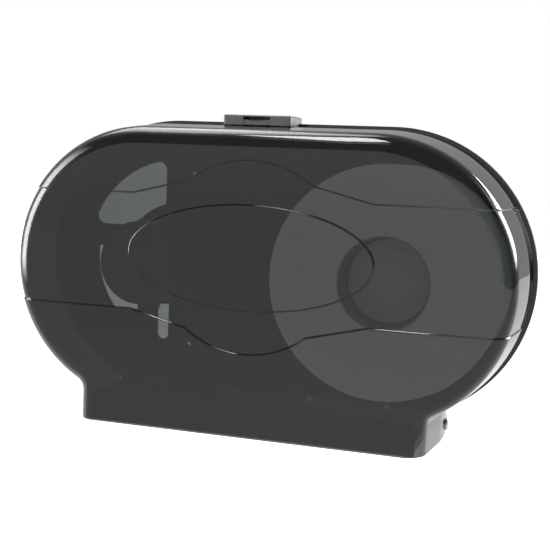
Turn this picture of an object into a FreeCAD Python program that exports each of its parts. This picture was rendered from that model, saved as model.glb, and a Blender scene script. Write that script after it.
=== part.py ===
import FreeCAD, Part
import math
import os

# Twin jumbo toilet roll dispenser, wall mounted.
# Millimetres. +X to the right, +Y into the wall, +Z up.
# The origin is the middle of the four wall screw holes, on the wall plane,
# level with the two roll axes. Depths are measured from the wall forwards.

# Casing
COVER_HALF_WIDTH = 254.0
END_RADIUS = 141.0
SHOULDER = 75.0
BOX_SIDE = 27.43
CASE_DEPTH = 114.0
COVER_WALL = 3.0
FRONT_SETBACK = 22.0
SIDE_DRAFT = 7.0
NECK_FILLET = 5.0

# Recessed band and bare oval field on the cover's face
BAND_STEP = 1.2
BAND_BORDER = 7.0
BAND_MIDDLE = 15.8
BAND_HALF_HEIGHT = 56.0
BAND_OUTER_KINK_X = 117.0
BAND_INNER_KINK_X = 60.0
BAND_KINK_HALF_HEIGHT = 70.0
BAND_BULGE_HALF_HEIGHT = 90.8
OVAL_HALF_WIDTH = 120.5
OVAL_HALF_HEIGHT = 49.5
OVAL_RISE = 0.7

# Back plate
RIM_PROUD = 4.0
RIM_DEPTH = 8.0
RIM_WALL = 3.0
PANEL = 3.0
COVER_GAP = 0.6
LIP_WALL = 2.5
LIP_REACH = 14.0
LIP_FOOT = 70.0
RIB_WALL = 2.2
RING_RIB_RADIUS = 56.0
BACK_FOOT_RISE = 4.0

# Wall screw holes
MOUNT_SPACING_X = 196.0
MOUNT_SPACING_Z = 180.0
MOUNT_HOLE_RADIUS = 2.75
MOUNT_BOSS_RADIUS = 8.0

# Windows in the back plate's panel
WINDOW_INNER_RADIUS = 59.0
UPPER_WINDOW_RADIUS = 104.5
UPPER_WINDOW_SILL = 33.0
WINDOW_CORNER = 9.0
LOWER_WINDOW_RADIUS = 92.5
LOWER_WINDOW_HEAD = 9.5
LOWER_WINDOW_SILL = 58.0
LOWER_WINDOW_OFFSET = 45.0
SLOT_WIDTH = 13.0
SLOT_HEIGHT = 46.0
SLOT_MIDDLE = 64.0

# Cover hinge
HINGE_DEPTH = 13.0
KNUCKLE_RADIUS = 11.0
PIN_RADIUS = 3.0
PIN_FIT = 0.05
PIN_HEAD_RADIUS = 5.5
PIN_HEAD = 2.0
PIN_HEAD_GAP = 0.3
LUG_WALL = 7.0
LUG_RADIUS = 8.0

# Roll spindles and hubs
ROLL_OFFSET = 15.0
POST_FLANGE_RADIUS = 24.0
POST_FLANGE = 3.0
POST_RADIUS = 8.0
POST_TIP = 1.7
WASHER_RADIUS = 15.0
WASHER = 2.4
SEAT_GAP = 0.3
HUB_RADIUS = 41.7
HUB_WALL = 2.2
HUB_FLANGE_RADIUS = 48.0
HUB_FLANGE = 2.5
HUB_SHORTFALL = 28.0
HUB_SLEEVE_RADIUS = 12.0
HUB_FIT = 0.08
HUB_RIBS = 6
HUB_WEB = 3.0
HUB_MOUTH = 7.0
CLIP = 1.0
CLIP_GROOVE = 1.2
CLIP_REACH = 2.6
CLIP_PLAY = 0.05
CLIP_GAP_WIDTH = 7.0
CAP = 2.5
CAP_SKIRT = 2.0
CAP_DIMPLE_RADIUS = 60.0
CAP_DIMPLE = 1.0
SPINDLE_SCREWS = 3
SPINDLE_SCREW_CIRCLE = 19.0
SCREW_RADIUS = 1.75
SCREW_HEAD_RADIUS = 3.3
SCREW_HEAD = 2.0
SCREW_RECESS_WIDTH = 1.0
SCREW_RECESS = 1.0
SCREW_BOSS_RADIUS = 4.5

# Paper
ROLL_RADIUS = 108.5
ROLL_FRONT_GAP = 6.2
CORE_WALL = 1.5
CORE_INSET = 0.8

# Latch
LATCH_X = -20.0
LATCH_HALF_WIDTH = 35.0
LATCH_FRONT = 40.0
LATCH_HEIGHT = 6.5
LATCH_ROUNDING = 2.0
LATCH_GAP = 0.5
LATCH_ROOF = 1.8
TAB_HALF_WIDTH = 13.7
TAB_BACK = 24.0
TAB_HEIGHT = 4.9
TAB_GAP = 0.3
TAB_LIFT = 2.5
TAB_SCOOP = 1.6
NOSE_HALF_WIDTH = 7.0
NOSE_FRONT = 28.5
NOSE_BACK = 25.5
NOSE_SLOT_GAP = 1.0
SPRING_SPACING = 16.0
SPRING_DEPTH = 34.0
SPRING_RADIUS = 1.5
SPRING_WIRE = 0.6
SPRING_TURNS = 4
SPRING_POCKET_RADIUS = 2.3
SPRING_POCKET = 3.2
LATCH_SCREW_X = 28.5
LATCH_SCREW_LENGTH = 8.0

# Key lock
LOCK_X = 24.5
LOCK_DEPTH = 22.0
LOCK_RADIUS = 5.0
LOCK_FIT = 0.08
LOCK_HEAD_RADIUS = 6.2
LOCK_HEAD = 1.2
LOCK_NECK_RADIUS = 2.5
LOCK_NOTCH_GAP = 1.5
KEY_SLOT_LENGTH = 7.0
KEY_SLOT_WIDTH = 1.6
KEY_SLOT = 3.0
CAM = 2.0
CAM_DROP = 3.0
CAM_REACH = 14.0
CAM_WIDTH = 7.0
NUT_FLATS = 7.0
NUT = 2.2

# Catch on the inside of the cover
CATCH_HALF_WIDTH = 16.0
CATCH_WALL = 2.0
CATCH_BACK = 14.0
CATCH_FRONT = 36.0
CATCH_DROP = 10.0
RIVET_RADIUS = 1.5
RIVET_HEAD_RADIUS = 3.0
RIVET_HEAD = 1.0
CATCH_RIVET_X = 12.0

# Paper mouth: rail frame, tear bars and sliding shutter
TRAY_SIDE_GAP = 14.0
TRAY_END_BAR = 7.0
TRAY_FOOT_GAP = 4.0
TRAY_HEIGHT = 10.0
TRAY_FRONT_GAP = 1.5
TRAY_FRONT_RAIL = 3.0
TRAY_REAR_RAIL = 5.0
RAIL_LIP = 2.0
TRAY_UPSTAND = 14.0
FRONT_GUARD = 18.0
FRONT_SKIRT = 3.7
TRAY_SCREW_SHARES = (0.24, 0.73)
TRAY_SCREW_RISE = 8.0
SHUTTER_MIDDLE_GAP = 1.0
SHUTTER = 2.4
SHUTTER_GAP = 0.3
SHUTTER_END_GAP = 1.2
SHUTTER_GRIP_LENGTH = 36.0
SHUTTER_GRIP_WALL = 3.0
SHUTTER_GRIP = 6.0
TEAR_BAR = 0.8
TEAR_TOOTH = 3.0
TEAR_PITCH = 5.0
TEAR_BAR_SETBACK = 4.0
TEAR_RIVET_END = 10.8

# Wire and cut allowances
OVERRUN = 5.0
TINY = 0.001

# Places worked out from the sizes above
END_X = COVER_HALF_WIDTH - END_RADIUS
BOX_HALF_WIDTH = COVER_HALF_WIDTH - SHOULDER
NECK_X = BOX_HALF_WIDTH + NECK_FILLET
NECK_DROP = math.sqrt((END_RADIUS + NECK_FILLET) ** 2 - (NECK_X - END_X) ** 2)
BOX_DROP = NECK_DROP + BOX_SIDE
HINGE_DROP = BOX_DROP - KNUCKLE_RADIUS
ROLL_X = END_X + ROLL_OFFSET
COVER_REAR = RIM_DEPTH + COVER_GAP
DRAFT_START = CATCH_FRONT + COVER_GAP
DRAFT_ANGLE = math.atan(SIDE_DRAFT / (CASE_DEPTH - DRAFT_START))
FRONT_ROUNDING = (FRONT_SETBACK - SIDE_DRAFT) / math.tan((math.pi / 2 - DRAFT_ANGLE) / 2)
PANEL_BACK = RIM_DEPTH - PANEL
BACK_BOX_HALF_WIDTH = BOX_HALF_WIDTH - COVER_WALL - COVER_GAP
LIP_INSET = COVER_WALL + COVER_GAP
HUB_REAR = RIM_DEPTH + POST_FLANGE + SEAT_GAP + WASHER + SEAT_GAP
ROLL_BACK = HUB_REAR + HUB_FLANGE + SEAT_GAP
ROLL_WIDTH = CASE_DEPTH - COVER_WALL - ROLL_FRONT_GAP - ROLL_BACK
HUB_FRONT = HUB_REAR + ROLL_WIDTH - HUB_SHORTFALL
HUB_WEB_FRONT = HUB_FRONT - HUB_MOUTH
CLIP_BACK = HUB_WEB_FRONT + SEAT_GAP
POST_FRONT = CLIP_BACK + CLIP_GROOVE + POST_TIP
CORE_RADIUS = HUB_RADIUS + SEAT_GAP + CORE_WALL
COVER_TOP = END_RADIUS
RIM_TOP = END_RADIUS + RIM_PROUD
LATCH_TOP = RIM_TOP + LATCH_HEIGHT
LATCH_FLOOR = COVER_TOP + LATCH_GAP
CAVITY_ROOF = LATCH_TOP - LATCH_ROOF
TAB_FLOOR = LATCH_FLOOR + TAB_GAP
TAB_TOP = TAB_FLOOR + TAB_HEIGHT
CAM_TOP = COVER_TOP - COVER_WALL - CAM_DROP
TRAY_FRONT = CASE_DEPTH - COVER_WALL - TRAY_FRONT_GAP
TRAY_HALF_WIDTH = BOX_HALF_WIDTH - TRAY_SIDE_GAP
TRAY_BOTTOM = BOX_DROP - TRAY_FOOT_GAP
TRAY_TOP_DROP = TRAY_BOTTOM - TRAY_HEIGHT
SHUTTER_BOTTOM = TRAY_BOTTOM - RAIL_LIP - SHUTTER_GAP
WINDOW_HALF_WIDTH = TRAY_HALF_WIDTH - TRAY_END_BAR
TEAR_BAR_BACK = RIM_DEPTH + TRAY_REAR_RAIL + RAIL_LIP + TEAR_BAR_SETBACK
TEAR_BAR_FRONT = TRAY_FRONT - TRAY_FRONT_RAIL - RAIL_LIP - TEAR_BAR_SETBACK


def vec(x, y, z):
    return FreeCAD.Vector(x, y, z)


def block(x0, x1, depth0, depth1, z0, z1):
    """Box between two depths from the wall; depth1 is further forward."""
    return Part.makeBox(x1 - x0, depth1 - depth0, z1 - z0, vec(x0, -depth1, z0))


def at_latch(shape):
    """Moves a shape laid out about the middle to the latch's place."""
    moved = shape.copy()
    moved.translate(vec(LATCH_X, 0, 0))
    return moved


def disc(x, z, radius, depth0, depth1):
    """Round solid whose axis is square to the wall."""
    return Part.makeCylinder(radius, depth1 - depth0, vec(x, -depth0, z), vec(0, -1, 0))


def tube(x, z, outer, inner, depth0, depth1):
    """Ring whose axis is square to the wall."""
    bore = disc(x, z, inner, depth0 - OVERRUN, depth1 + OVERRUN)
    return disc(x, z, outer, depth0, depth1).cut(bore)


def upright(x, depth, radius, z0, z1):
    """Round solid whose axis is vertical."""
    return Part.makeCylinder(radius, z1 - z0, vec(x, -depth, z0))


def crosswise(depth, z, radius, x0, x1):
    """Round solid whose axis runs left to right."""
    return Part.makeCylinder(radius, x1 - x0, vec(x0, -depth, z), vec(1, 0, 0))


def mirrored(shape):
    return shape.mirror(vec(0, 0, 0), vec(1, 0, 0))


def both_sides(shape):
    return [shape, mirrored(shape)]


def joined(shapes):
    """One solid out of shapes that touch."""
    whole = shapes[0].fuse(shapes[1:]) if len(shapes) > 1 else shapes[0]
    whole = whole.removeSplitter()
    solids = whole.Solids
    return solids[0] if len(solids) == 1 else whole


def without(shape, tools):
    whole = shape.cut(tools)
    solids = whole.Solids
    return solids[0] if len(solids) == 1 else whole


def case_outline(grow, box_half_width, foot, depth):
    """Front outline of the casing: two round ends over a narrower box.

    grow offsets the round ends outwards, foot is the height of the box's floor.
    """
    radius = END_RADIUS + grow
    neck = NECK_FILLET - grow if grow < 0 else NECK_FILLET
    neck_x = box_half_width + neck
    neck_z = -math.sqrt((radius + neck) ** 2 - (neck_x - END_X) ** 2)
    touch = radius / (radius + neck)
    arc_end = (END_X + (neck_x - END_X) * touch, neck_z * touch)
    to_end = ((END_X - neck_x) / (radius + neck), -neck_z / (radius + neck))
    middle = (to_end[0] - 1, to_end[1])
    length = math.hypot(middle[0], middle[1])
    neck_middle = (neck_x + neck * middle[0] / length, neck_z + neck * middle[1] / length)
    y = -depth
    edges = []
    for side in (1, -1):
        top = vec(side * END_X, y, radius)
        outermost = vec(side * (END_X + radius), y, 0)
        low = vec(side * arc_end[0], y, arc_end[1])
        neck_mid = vec(side * neck_middle[0], y, neck_middle[1])
        neck_low = vec(side * box_half_width, y, neck_z)
        corner = vec(side * box_half_width, y, foot)
        edges.append(Part.Arc(top, outermost, low).toShape())
        edges.append(Part.Arc(low, neck_mid, neck_low).toShape())
        edges.append(Part.makeLine(neck_low, corner))
    left_top = vec(-END_X, y, radius)
    right_top = vec(END_X, y, radius)
    edges.append(Part.makeLine(left_top, right_top))
    left_corner = vec(-box_half_width, y, foot)
    right_corner = vec(box_half_width, y, foot)
    edges.append(Part.makeLine(left_corner, right_corner))
    return Part.Wire(Part.__sortEdges__(edges))


def case_prism(grow, box_half_width, foot, depth0, depth1):
    wire = case_outline(grow, box_half_width, foot, depth0)
    return Part.Face(wire).extrude(vec(0, depth0 - depth1, 0))


def cover_form(inset, rear):
    """The cover's full round-edged form, drawn inwards by inset, its foot left long.

    The walls are straight at the rear, then lean inwards by the moulding draft.
    """
    front = CASE_DEPTH - inset
    foot = -BOX_DROP - OVERRUN
    lean = SIDE_DRAFT * (front - DRAFT_START) / (CASE_DEPTH - DRAFT_START)
    wires = []
    for grow, depth in ((-inset, rear), (-inset, DRAFT_START), (-inset - lean, front)):
        wires.append(case_outline(grow, BOX_HALF_WIDTH + grow, foot, depth))
    form = Part.makeLoft(wires, True, True)
    edges = []
    for edge in form.Edges:
        box = edge.BoundBox
        at_front = box.YMax < TINY - front
        if at_front and box.ZMax > foot + TINY:
            edges.append(edge)
    return form.makeFillet(FRONT_ROUNDING - inset, edges)


def band_region():
    """Solid that spans the band between its kinked upper and lower lines."""
    reach = COVER_HALF_WIDTH + OVERRUN
    rear = COVER_REAR + BAND_BORDER
    front = CASE_DEPTH + OVERRUN
    edges = []
    for flip in (1, -1):
        outer_z = BAND_MIDDLE + flip * BAND_HALF_HEIGHT
        kink_z = BAND_MIDDLE + flip * BAND_KINK_HALF_HEIGHT
        bulge = vec(0, -rear, BAND_MIDDLE + flip * BAND_BULGE_HALF_HEIGHT)
        line = [vec(-reach, -rear, outer_z), vec(-BAND_OUTER_KINK_X, -rear, outer_z)]
        line.append(vec(-BAND_INNER_KINK_X, -rear, kink_z))
        far = [vec(BAND_INNER_KINK_X, -rear, kink_z)]
        far.append(vec(BAND_OUTER_KINK_X, -rear, outer_z))
        far.append(vec(reach, -rear, outer_z))
        edges.extend(Part.makePolygon(line).Edges)
        edges.append(Part.Arc(line[-1], bulge, far[0]).toShape())
        edges.extend(Part.makePolygon(far).Edges)
    for side in (-reach, reach):
        low = vec(side, -rear, BAND_MIDDLE - BAND_HALF_HEIGHT)
        high = vec(side, -rear, BAND_MIDDLE + BAND_HALF_HEIGHT)
        edges.append(Part.makeLine(low, high))
    wire = Part.Wire(Part.__sortEdges__(edges))
    return Part.Face(wire).extrude(vec(0, rear - front, 0))


def oval_island():
    """Bare oval field, standing a little proud of the band's floor."""
    front = CASE_DEPTH - BAND_STEP + OVAL_RISE
    rear = CASE_DEPTH - COVER_WALL
    ellipse = Part.Ellipse(vec(0, 0, 0), OVAL_HALF_WIDTH, OVAL_HALF_HEIGHT)
    face = Part.Face(Part.Wire([ellipse.toShape()]))
    face.rotate(vec(0, 0, 0), vec(1, 0, 0), 90)
    face.translate(vec(0, -rear, BAND_MIDDLE))
    return face.extrude(vec(0, rear - front, 0))


def cover_shell():
    """Smoked cover: an open-backed, open-bottomed shell with hinge knuckles."""
    band_cut = band_region().cut([cover_form(BAND_STEP, 0), oval_island()])
    hollow = cover_form(COVER_WALL, 0)
    shell = cover_form(0, COVER_REAR).cut([hollow, band_cut])
    inner_x = BOX_HALF_WIDTH - COVER_WALL
    knuckle = crosswise(HINGE_DEPTH, -HINGE_DROP, KNUCKLE_RADIUS, inner_x, BOX_HALF_WIDTH)
    shell = shell.fuse(both_sides(knuckle))
    reach = COVER_HALF_WIDTH
    foot_cut = block(-reach, reach, -OVERRUN, CASE_DEPTH + OVERRUN,
                     -BOX_DROP - OVERRUN - KNUCKLE_RADIUS, -BOX_DROP)
    low_corner = block(inner_x - TINY, BOX_HALF_WIDTH + TINY, -OVERRUN, HINGE_DEPTH,
                       -BOX_DROP - OVERRUN, -HINGE_DROP)
    low_corner = low_corner.cut(crosswise(HINGE_DEPTH, -HINGE_DROP, KNUCKLE_RADIUS,
                                          inner_x - OVERRUN, BOX_HALF_WIDTH + OVERRUN))
    pin_hole = crosswise(HINGE_DEPTH, -HINGE_DROP, PIN_RADIUS + PIN_FIT,
                         inner_x - OVERRUN, BOX_HALF_WIDTH + OVERRUN)
    tools = [foot_cut] + both_sides(low_corner) + both_sides(pin_hole)
    tools += [at_latch(rivet_shank(x)) for x in (-CATCH_RIVET_X, CATCH_RIVET_X)]
    tools.append(at_latch(nose_slot()))
    tools.append(at_latch(lock_notch()))
    return without(shell, tools)


def nose_slot():
    """Slot for the latch nose, through the cover's top wall and the catch."""
    half = NOSE_HALF_WIDTH + NOSE_SLOT_GAP
    floor = COVER_TOP - COVER_WALL - CATCH_WALL - OVERRUN
    return block(-half, half, NOSE_BACK - NOSE_SLOT_GAP, NOSE_FRONT + NOSE_SLOT_GAP,
                 floor, COVER_TOP + OVERRUN)


def lock_notch():
    """Notch, open to the rear, that lets the cover clear the lock's neck and nut."""
    half = CAM_WIDTH / 2 + LOCK_NOTCH_GAP
    front = LOCK_DEPTH + LOCK_NECK_RADIUS + LOCK_NOTCH_GAP
    floor = COVER_TOP - COVER_WALL - OVERRUN
    return block(LOCK_X - half, LOCK_X + half, 0, front, floor, COVER_TOP + OVERRUN)


def cover_catch():
    """Angle bracket under the cover's top wall that the latch and the lock hold."""
    top = COVER_TOP - COVER_WALL
    plate = block(-CATCH_HALF_WIDTH, CATCH_HALF_WIDTH, CATCH_BACK, CATCH_FRONT,
                  top - CATCH_WALL, top)
    flange = block(-CATCH_HALF_WIDTH, CATCH_HALF_WIDTH, CATCH_BACK,
                   CATCH_BACK + CATCH_WALL, top - CATCH_DROP, top)
    catch = joined([plate, flange])
    holes = [rivet_shank(x) for x in (-CATCH_RIVET_X, CATCH_RIVET_X)]
    return without(catch, [nose_slot()] + holes)


def catch_rivet_depth():
    return (NOSE_FRONT + NOSE_SLOT_GAP + CATCH_FRONT) / 2


def rivet_shank(x):
    """Rivet shank that ends flush with the cover's top."""
    foot = COVER_TOP - COVER_WALL - CATCH_WALL
    return upright(x, catch_rivet_depth(), RIVET_RADIUS, foot, COVER_TOP)


def catch_rivets():
    foot = COVER_TOP - COVER_WALL - CATCH_WALL
    rivets = []
    for x in (-CATCH_RIVET_X, CATCH_RIVET_X):
        head = upright(x, catch_rivet_depth(), RIVET_HEAD_RADIUS, foot - RIVET_HEAD, foot)
        rivets.append(joined([rivet_shank(x), head]))
    return Part.makeCompound(rivets)


def upper_window():
    """Left-hand window over the empty hub, between two arcs about the casing's end."""
    depth0 = -OVERRUN
    depth1 = RIM_DEPTH + OVERRUN
    ring = tube(-END_X, 0, UPPER_WINDOW_RADIUS, WINDOW_INNER_RADIUS, depth0, depth1)
    keep = block(-END_X - END_RADIUS, -ROLL_X, depth0 - OVERRUN,
                 depth1 + OVERRUN, UPPER_WINDOW_SILL, END_RADIUS)
    window = ring.common(keep).Solids[0]
    corners = []
    for edge in window.Edges:
        box = edge.BoundBox
        along_depth = box.YLength > OVERRUN and box.XLength < TINY and box.ZLength < TINY
        out = math.hypot(box.XMin + END_X, box.ZMin)
        if along_depth and out > UPPER_WINDOW_RADIUS - TINY:
            corners.append(edge)
    return window.makeFillet(WINDOW_CORNER, corners)


def lower_window():
    depth0 = -OVERRUN
    depth1 = RIM_DEPTH + OVERRUN
    ring = tube(-END_X, 0, LOWER_WINDOW_RADIUS, WINDOW_INNER_RADIUS, depth0, depth1)
    keep = block(-END_X - END_RADIUS, -END_X - LOWER_WINDOW_OFFSET, depth0 - OVERRUN,
                 depth1 + OVERRUN, -LOWER_WINDOW_SILL, LOWER_WINDOW_HEAD)
    return ring.common(keep).Solids[0]


def cable_slot():
    """Upright slot with round ends, below and beside the hub."""
    half = SLOT_WIDTH / 2
    straight = SLOT_HEIGHT / 2 - half
    depth0 = -OVERRUN
    depth1 = RIM_DEPTH + OVERRUN
    shapes = [block(-ROLL_X - half, -ROLL_X + half, depth0, depth1,
                    -SLOT_MIDDLE - straight, -SLOT_MIDDLE + straight)]
    for z in (-SLOT_MIDDLE - straight, -SLOT_MIDDLE + straight):
        shapes.append(disc(-ROLL_X, z, half, depth0, depth1))
    return joined(shapes)


def mount_centres():
    half_x = MOUNT_SPACING_X / 2
    half_z = MOUNT_SPACING_Z / 2
    return [(x, z) for x in (-half_x, half_x) for z in (-half_z, half_z)]


def spindle_screw_centres(side):
    places = []
    for i in range(SPINDLE_SCREWS):
        turn = math.radians(90) + math.tau * i / SPINDLE_SCREWS
        x = side * ROLL_X + SPINDLE_SCREW_CIRCLE * math.cos(turn)
        places.append((x, SPINDLE_SCREW_CIRCLE * math.sin(turn)))
    return places


def tray_screw_centres():
    z = -TRAY_TOP_DROP + TRAY_SCREW_RISE
    xs = [share * TRAY_HALF_WIDTH for share in TRAY_SCREW_SHARES]
    return [(side * x, z) for side in (-1, 1) for x in xs]


def back_ribs(foot):
    """Ribs behind the panel: rings round the ends, uprights and two long rails."""
    ribs = []
    for side in (-1, 1):
        ribs.append(tube(side * END_X, 0, RING_RIB_RADIUS + RIB_WALL, RING_RIB_RADIUS,
                         0, PANEL_BACK))
        for x in (MOUNT_SPACING_X / 2, MOUNT_SPACING_X / 4):
            at = side * x
            ribs.append(block(at - RIB_WALL / 2, at + RIB_WALL / 2, 0, PANEL_BACK,
                              foot, RIM_TOP))
    for z in (-MOUNT_SPACING_Z / 2, MOUNT_SPACING_Z / 2):
        reach = MOUNT_SPACING_X / 2 + OVERRUN
        ribs.append(block(-reach, reach, 0, PANEL_BACK, z - RIB_WALL / 2, z + RIB_WALL / 2))
    return ribs


def hinge_lug():
    """Right-hand ear that carries a hinge pin."""
    outer_x = BACK_BOX_HALF_WIDTH
    inner_x = outer_x - LUG_WALL
    ear = crosswise(HINGE_DEPTH, -HINGE_DROP, LUG_RADIUS, inner_x, outer_x)
    web = block(inner_x, outer_x, PANEL_BACK, HINGE_DEPTH,
                -HINGE_DROP - LUG_RADIUS + BACK_FOOT_RISE / 2, -HINGE_DROP + LUG_RADIUS)
    return joined([ear, web])


def sealing_lip():
    """Wall inside the cover's rear edge, round the top and the ends."""
    ring = case_prism(-LIP_INSET, BOX_HALF_WIDTH - LIP_INSET, -BOX_DROP,
                      PANEL_BACK, RIM_DEPTH + LIP_REACH)
    hollow = case_prism(-LIP_INSET - LIP_WALL, BOX_HALF_WIDTH - LIP_INSET - LIP_WALL,
                        -BOX_DROP - OVERRUN, -OVERRUN, RIM_DEPTH + LIP_REACH + OVERRUN)
    reach = COVER_HALF_WIDTH
    below = block(-reach, reach, 0, CASE_DEPTH, -BOX_DROP - OVERRUN, -LIP_FOOT)
    gap = LATCH_HALF_WIDTH + OVERRUN
    latch_gap = at_latch(block(-gap, gap, RIM_DEPTH, CASE_DEPTH, 0, RIM_TOP))
    return ring.cut([hollow, below, latch_gap])


def back_plate():
    """Black moulded back: hollow rim, ribbed panel with windows, lip and hinge ears."""
    foot = -BOX_DROP + BACK_FOOT_RISE
    slab = case_prism(RIM_PROUD, BACK_BOX_HALF_WIDTH, foot, 0, RIM_DEPTH)
    hollow = case_prism(RIM_PROUD - RIM_WALL, BACK_BOX_HALF_WIDTH - RIM_WALL,
                        foot + RIM_WALL, -OVERRUN, PANEL_BACK)
    inside = case_prism(RIM_PROUD - RIM_WALL / 2, BACK_BOX_HALF_WIDTH - RIM_WALL / 2,
                        foot + RIM_WALL / 2, 0, PANEL_BACK + PANEL / 2)
    backing = [rib for rib in back_ribs(foot)]
    for x, z in mount_centres():
        backing.append(disc(x, z, MOUNT_BOSS_RADIUS, 0, PANEL_BACK))
    screws = spindle_screw_centres(-1) + spindle_screw_centres(1) + tray_screw_centres()
    for x, z in screws:
        backing.append(disc(x, z, SCREW_BOSS_RADIUS, 0, PANEL_BACK))
    latch_seat = block(-LATCH_HALF_WIDTH, LATCH_HALF_WIDTH, 0, PANEL_BACK,
                       RIM_TOP - LATCH_SCREW_LENGTH - RIM_WALL, RIM_TOP)
    backing.append(at_latch(latch_seat))
    backing = backing[0].fuse(backing[1:]).common(inside)
    plate = slab.cut(hollow).fuse([backing, sealing_lip()] + both_sides(hinge_lug()))
    tools = both_sides(upper_window()) + both_sides(lower_window())
    tools += both_sides(cable_slot())
    for x, z in mount_centres():
        tools.append(disc(x, z, MOUNT_HOLE_RADIUS, -OVERRUN, RIM_DEPTH + OVERRUN))
    for x, z in screws:
        tools.append(disc(x, z, SCREW_RADIUS, RIB_WALL, RIM_DEPTH + OVERRUN))
    for x in (-LATCH_SCREW_X, LATCH_SCREW_X):
        tools.append(at_latch(upright(x, RIM_DEPTH / 2, SCREW_RADIUS,
                                      RIM_TOP - LATCH_SCREW_LENGTH, RIM_TOP + OVERRUN)))
    outer_x = BACK_BOX_HALF_WIDTH + OVERRUN
    inner_x = BACK_BOX_HALF_WIDTH - LUG_WALL - OVERRUN
    tools += both_sides(crosswise(HINGE_DEPTH, -HINGE_DROP, PIN_RADIUS, inner_x, outer_x))
    return without(plate, tools).removeSplitter()


def hinge_pin():
    """Right-hand headed pin, pressed into the back plate's ear."""
    inner_x = BACK_BOX_HALF_WIDTH - LUG_WALL
    head_x = BOX_HALF_WIDTH + PIN_HEAD_GAP
    shank = crosswise(HINGE_DEPTH, -HINGE_DROP, PIN_RADIUS, inner_x, head_x + PIN_HEAD)
    head = crosswise(HINGE_DEPTH, -HINGE_DROP, PIN_HEAD_RADIUS, head_x, head_x + PIN_HEAD)
    rim = [edge for edge in head.Edges if edge.BoundBox.XMin > head_x + TINY]
    head = head.makeFillet(PIN_HEAD / 3, rim)
    return joined([shank, head])


def spindle_post(side):
    """Fixed post with a screwed flange and a clip groove near its tip."""
    x = side * ROLL_X
    flange = disc(x, 0, POST_FLANGE_RADIUS, RIM_DEPTH, RIM_DEPTH + POST_FLANGE)
    shaft = disc(x, 0, POST_RADIUS, RIM_DEPTH, POST_FRONT)
    post = joined([flange, shaft])
    tools = [tube(x, 0, POST_RADIUS + OVERRUN, POST_RADIUS - CLIP_GROOVE, CLIP_BACK,
                  CLIP_BACK + CLIP_GROOVE)]
    for screw_x, z in spindle_screw_centres(side):
        tools.append(disc(screw_x, z, SCREW_RADIUS, 0, RIM_DEPTH + POST_FLANGE + OVERRUN))
    return without(post, tools)


def cross_head_screw(x, z, depth, length):
    """Pan-head screw whose head sits on a face at this depth."""
    shank = disc(x, z, SCREW_RADIUS, depth - length, depth)
    head = disc(x, z, SCREW_HEAD_RADIUS, depth, depth + SCREW_HEAD)
    rim = [edge for edge in head.Edges if edge.BoundBox.YMax < TINY - depth - SCREW_HEAD]
    head = head.makeFillet(SCREW_HEAD / 2, rim)
    half = SCREW_RECESS_WIDTH / 2
    reach = SCREW_HEAD_RADIUS * 2 / 3
    floor = depth + SCREW_HEAD - SCREW_RECESS
    across = block(x - reach, x + reach, floor, depth + SCREW_HEAD + OVERRUN,
                   z - half, z + half)
    upward = block(x - half, x + half, floor, depth + SCREW_HEAD + OVERRUN,
                   z - reach, z + reach)
    return without(joined([shank, head]), [across, upward])


def spindle_screws():
    depth = RIM_DEPTH + POST_FLANGE
    length = depth - RIB_WALL
    centres = spindle_screw_centres(-1) + spindle_screw_centres(1)
    return Part.makeCompound([cross_head_screw(x, z, depth, length) for x, z in centres])


def brake_washer(side):
    """Felt ring that keeps the hub from over-running."""
    depth0 = RIM_DEPTH + POST_FLANGE + SEAT_GAP
    return tube(side * ROLL_X, 0, WASHER_RADIUS, POST_RADIUS + SEAT_GAP, depth0,
                depth0 + WASHER)


def core_hub(side):
    """Flanged drum that carries a roll's core and turns on the post."""
    x = side * ROLL_X
    inner = HUB_RADIUS - HUB_WALL
    shapes = [tube(x, 0, HUB_RADIUS, inner, HUB_REAR, HUB_FRONT)]
    shapes.append(tube(x, 0, HUB_FLANGE_RADIUS, inner, HUB_REAR, HUB_REAR + HUB_FLANGE))
    shapes.append(disc(x, 0, HUB_SLEEVE_RADIUS, HUB_REAR, HUB_WEB_FRONT))
    shapes.append(disc(x, 0, inner + HUB_WALL / 2, HUB_WEB_FRONT - HUB_WEB, HUB_WEB_FRONT))
    for i in range(HUB_RIBS):
        spoke = block(x, x + inner + HUB_WALL / 2, HUB_REAR, HUB_WEB_FRONT,
                      -HUB_WALL / 2, HUB_WALL / 2)
        spoke.rotate(vec(x, 0, 0), vec(0, 1, 0), 360 * i / HUB_RIBS)
        shapes.append(spoke)
    bore = disc(x, 0, POST_RADIUS + HUB_FIT, 0, HUB_FRONT + OVERRUN)
    return without(joined(shapes), [bore])


def retaining_clip(side):
    """Open spring ring in the post's groove that holds the hub on."""
    x = side * ROLL_X
    inner = POST_RADIUS - CLIP_GROOVE + CLIP_PLAY
    ring = tube(x, 0, POST_RADIUS + CLIP_REACH, inner, CLIP_BACK, CLIP_BACK + CLIP)
    mouth = block(x - CLIP_GAP_WIDTH / 2, x + CLIP_GAP_WIDTH / 2, 0, CASE_DEPTH,
                  -POST_RADIUS - CLIP_REACH - OVERRUN, 0)
    return without(ring, [mouth])


def hub_cap(side):
    """Dished cap in the hub's mouth that hides the clip."""
    x = side * ROLL_X
    radius = HUB_RADIUS - HUB_WALL - SEAT_GAP
    skirt_radius = radius - CAP_SKIRT
    disc_part = disc(x, 0, radius, HUB_FRONT - CAP, HUB_FRONT)
    skirt = tube(x, 0, radius, skirt_radius, HUB_WEB_FRONT + SEAT_GAP, HUB_FRONT)
    cap = joined([disc_part, skirt])
    middle = vec(x, -HUB_FRONT - CAP_DIMPLE_RADIUS + CAP_DIMPLE, 0)
    return without(cap, [Part.makeSphere(CAP_DIMPLE_RADIUS, middle)])


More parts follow.
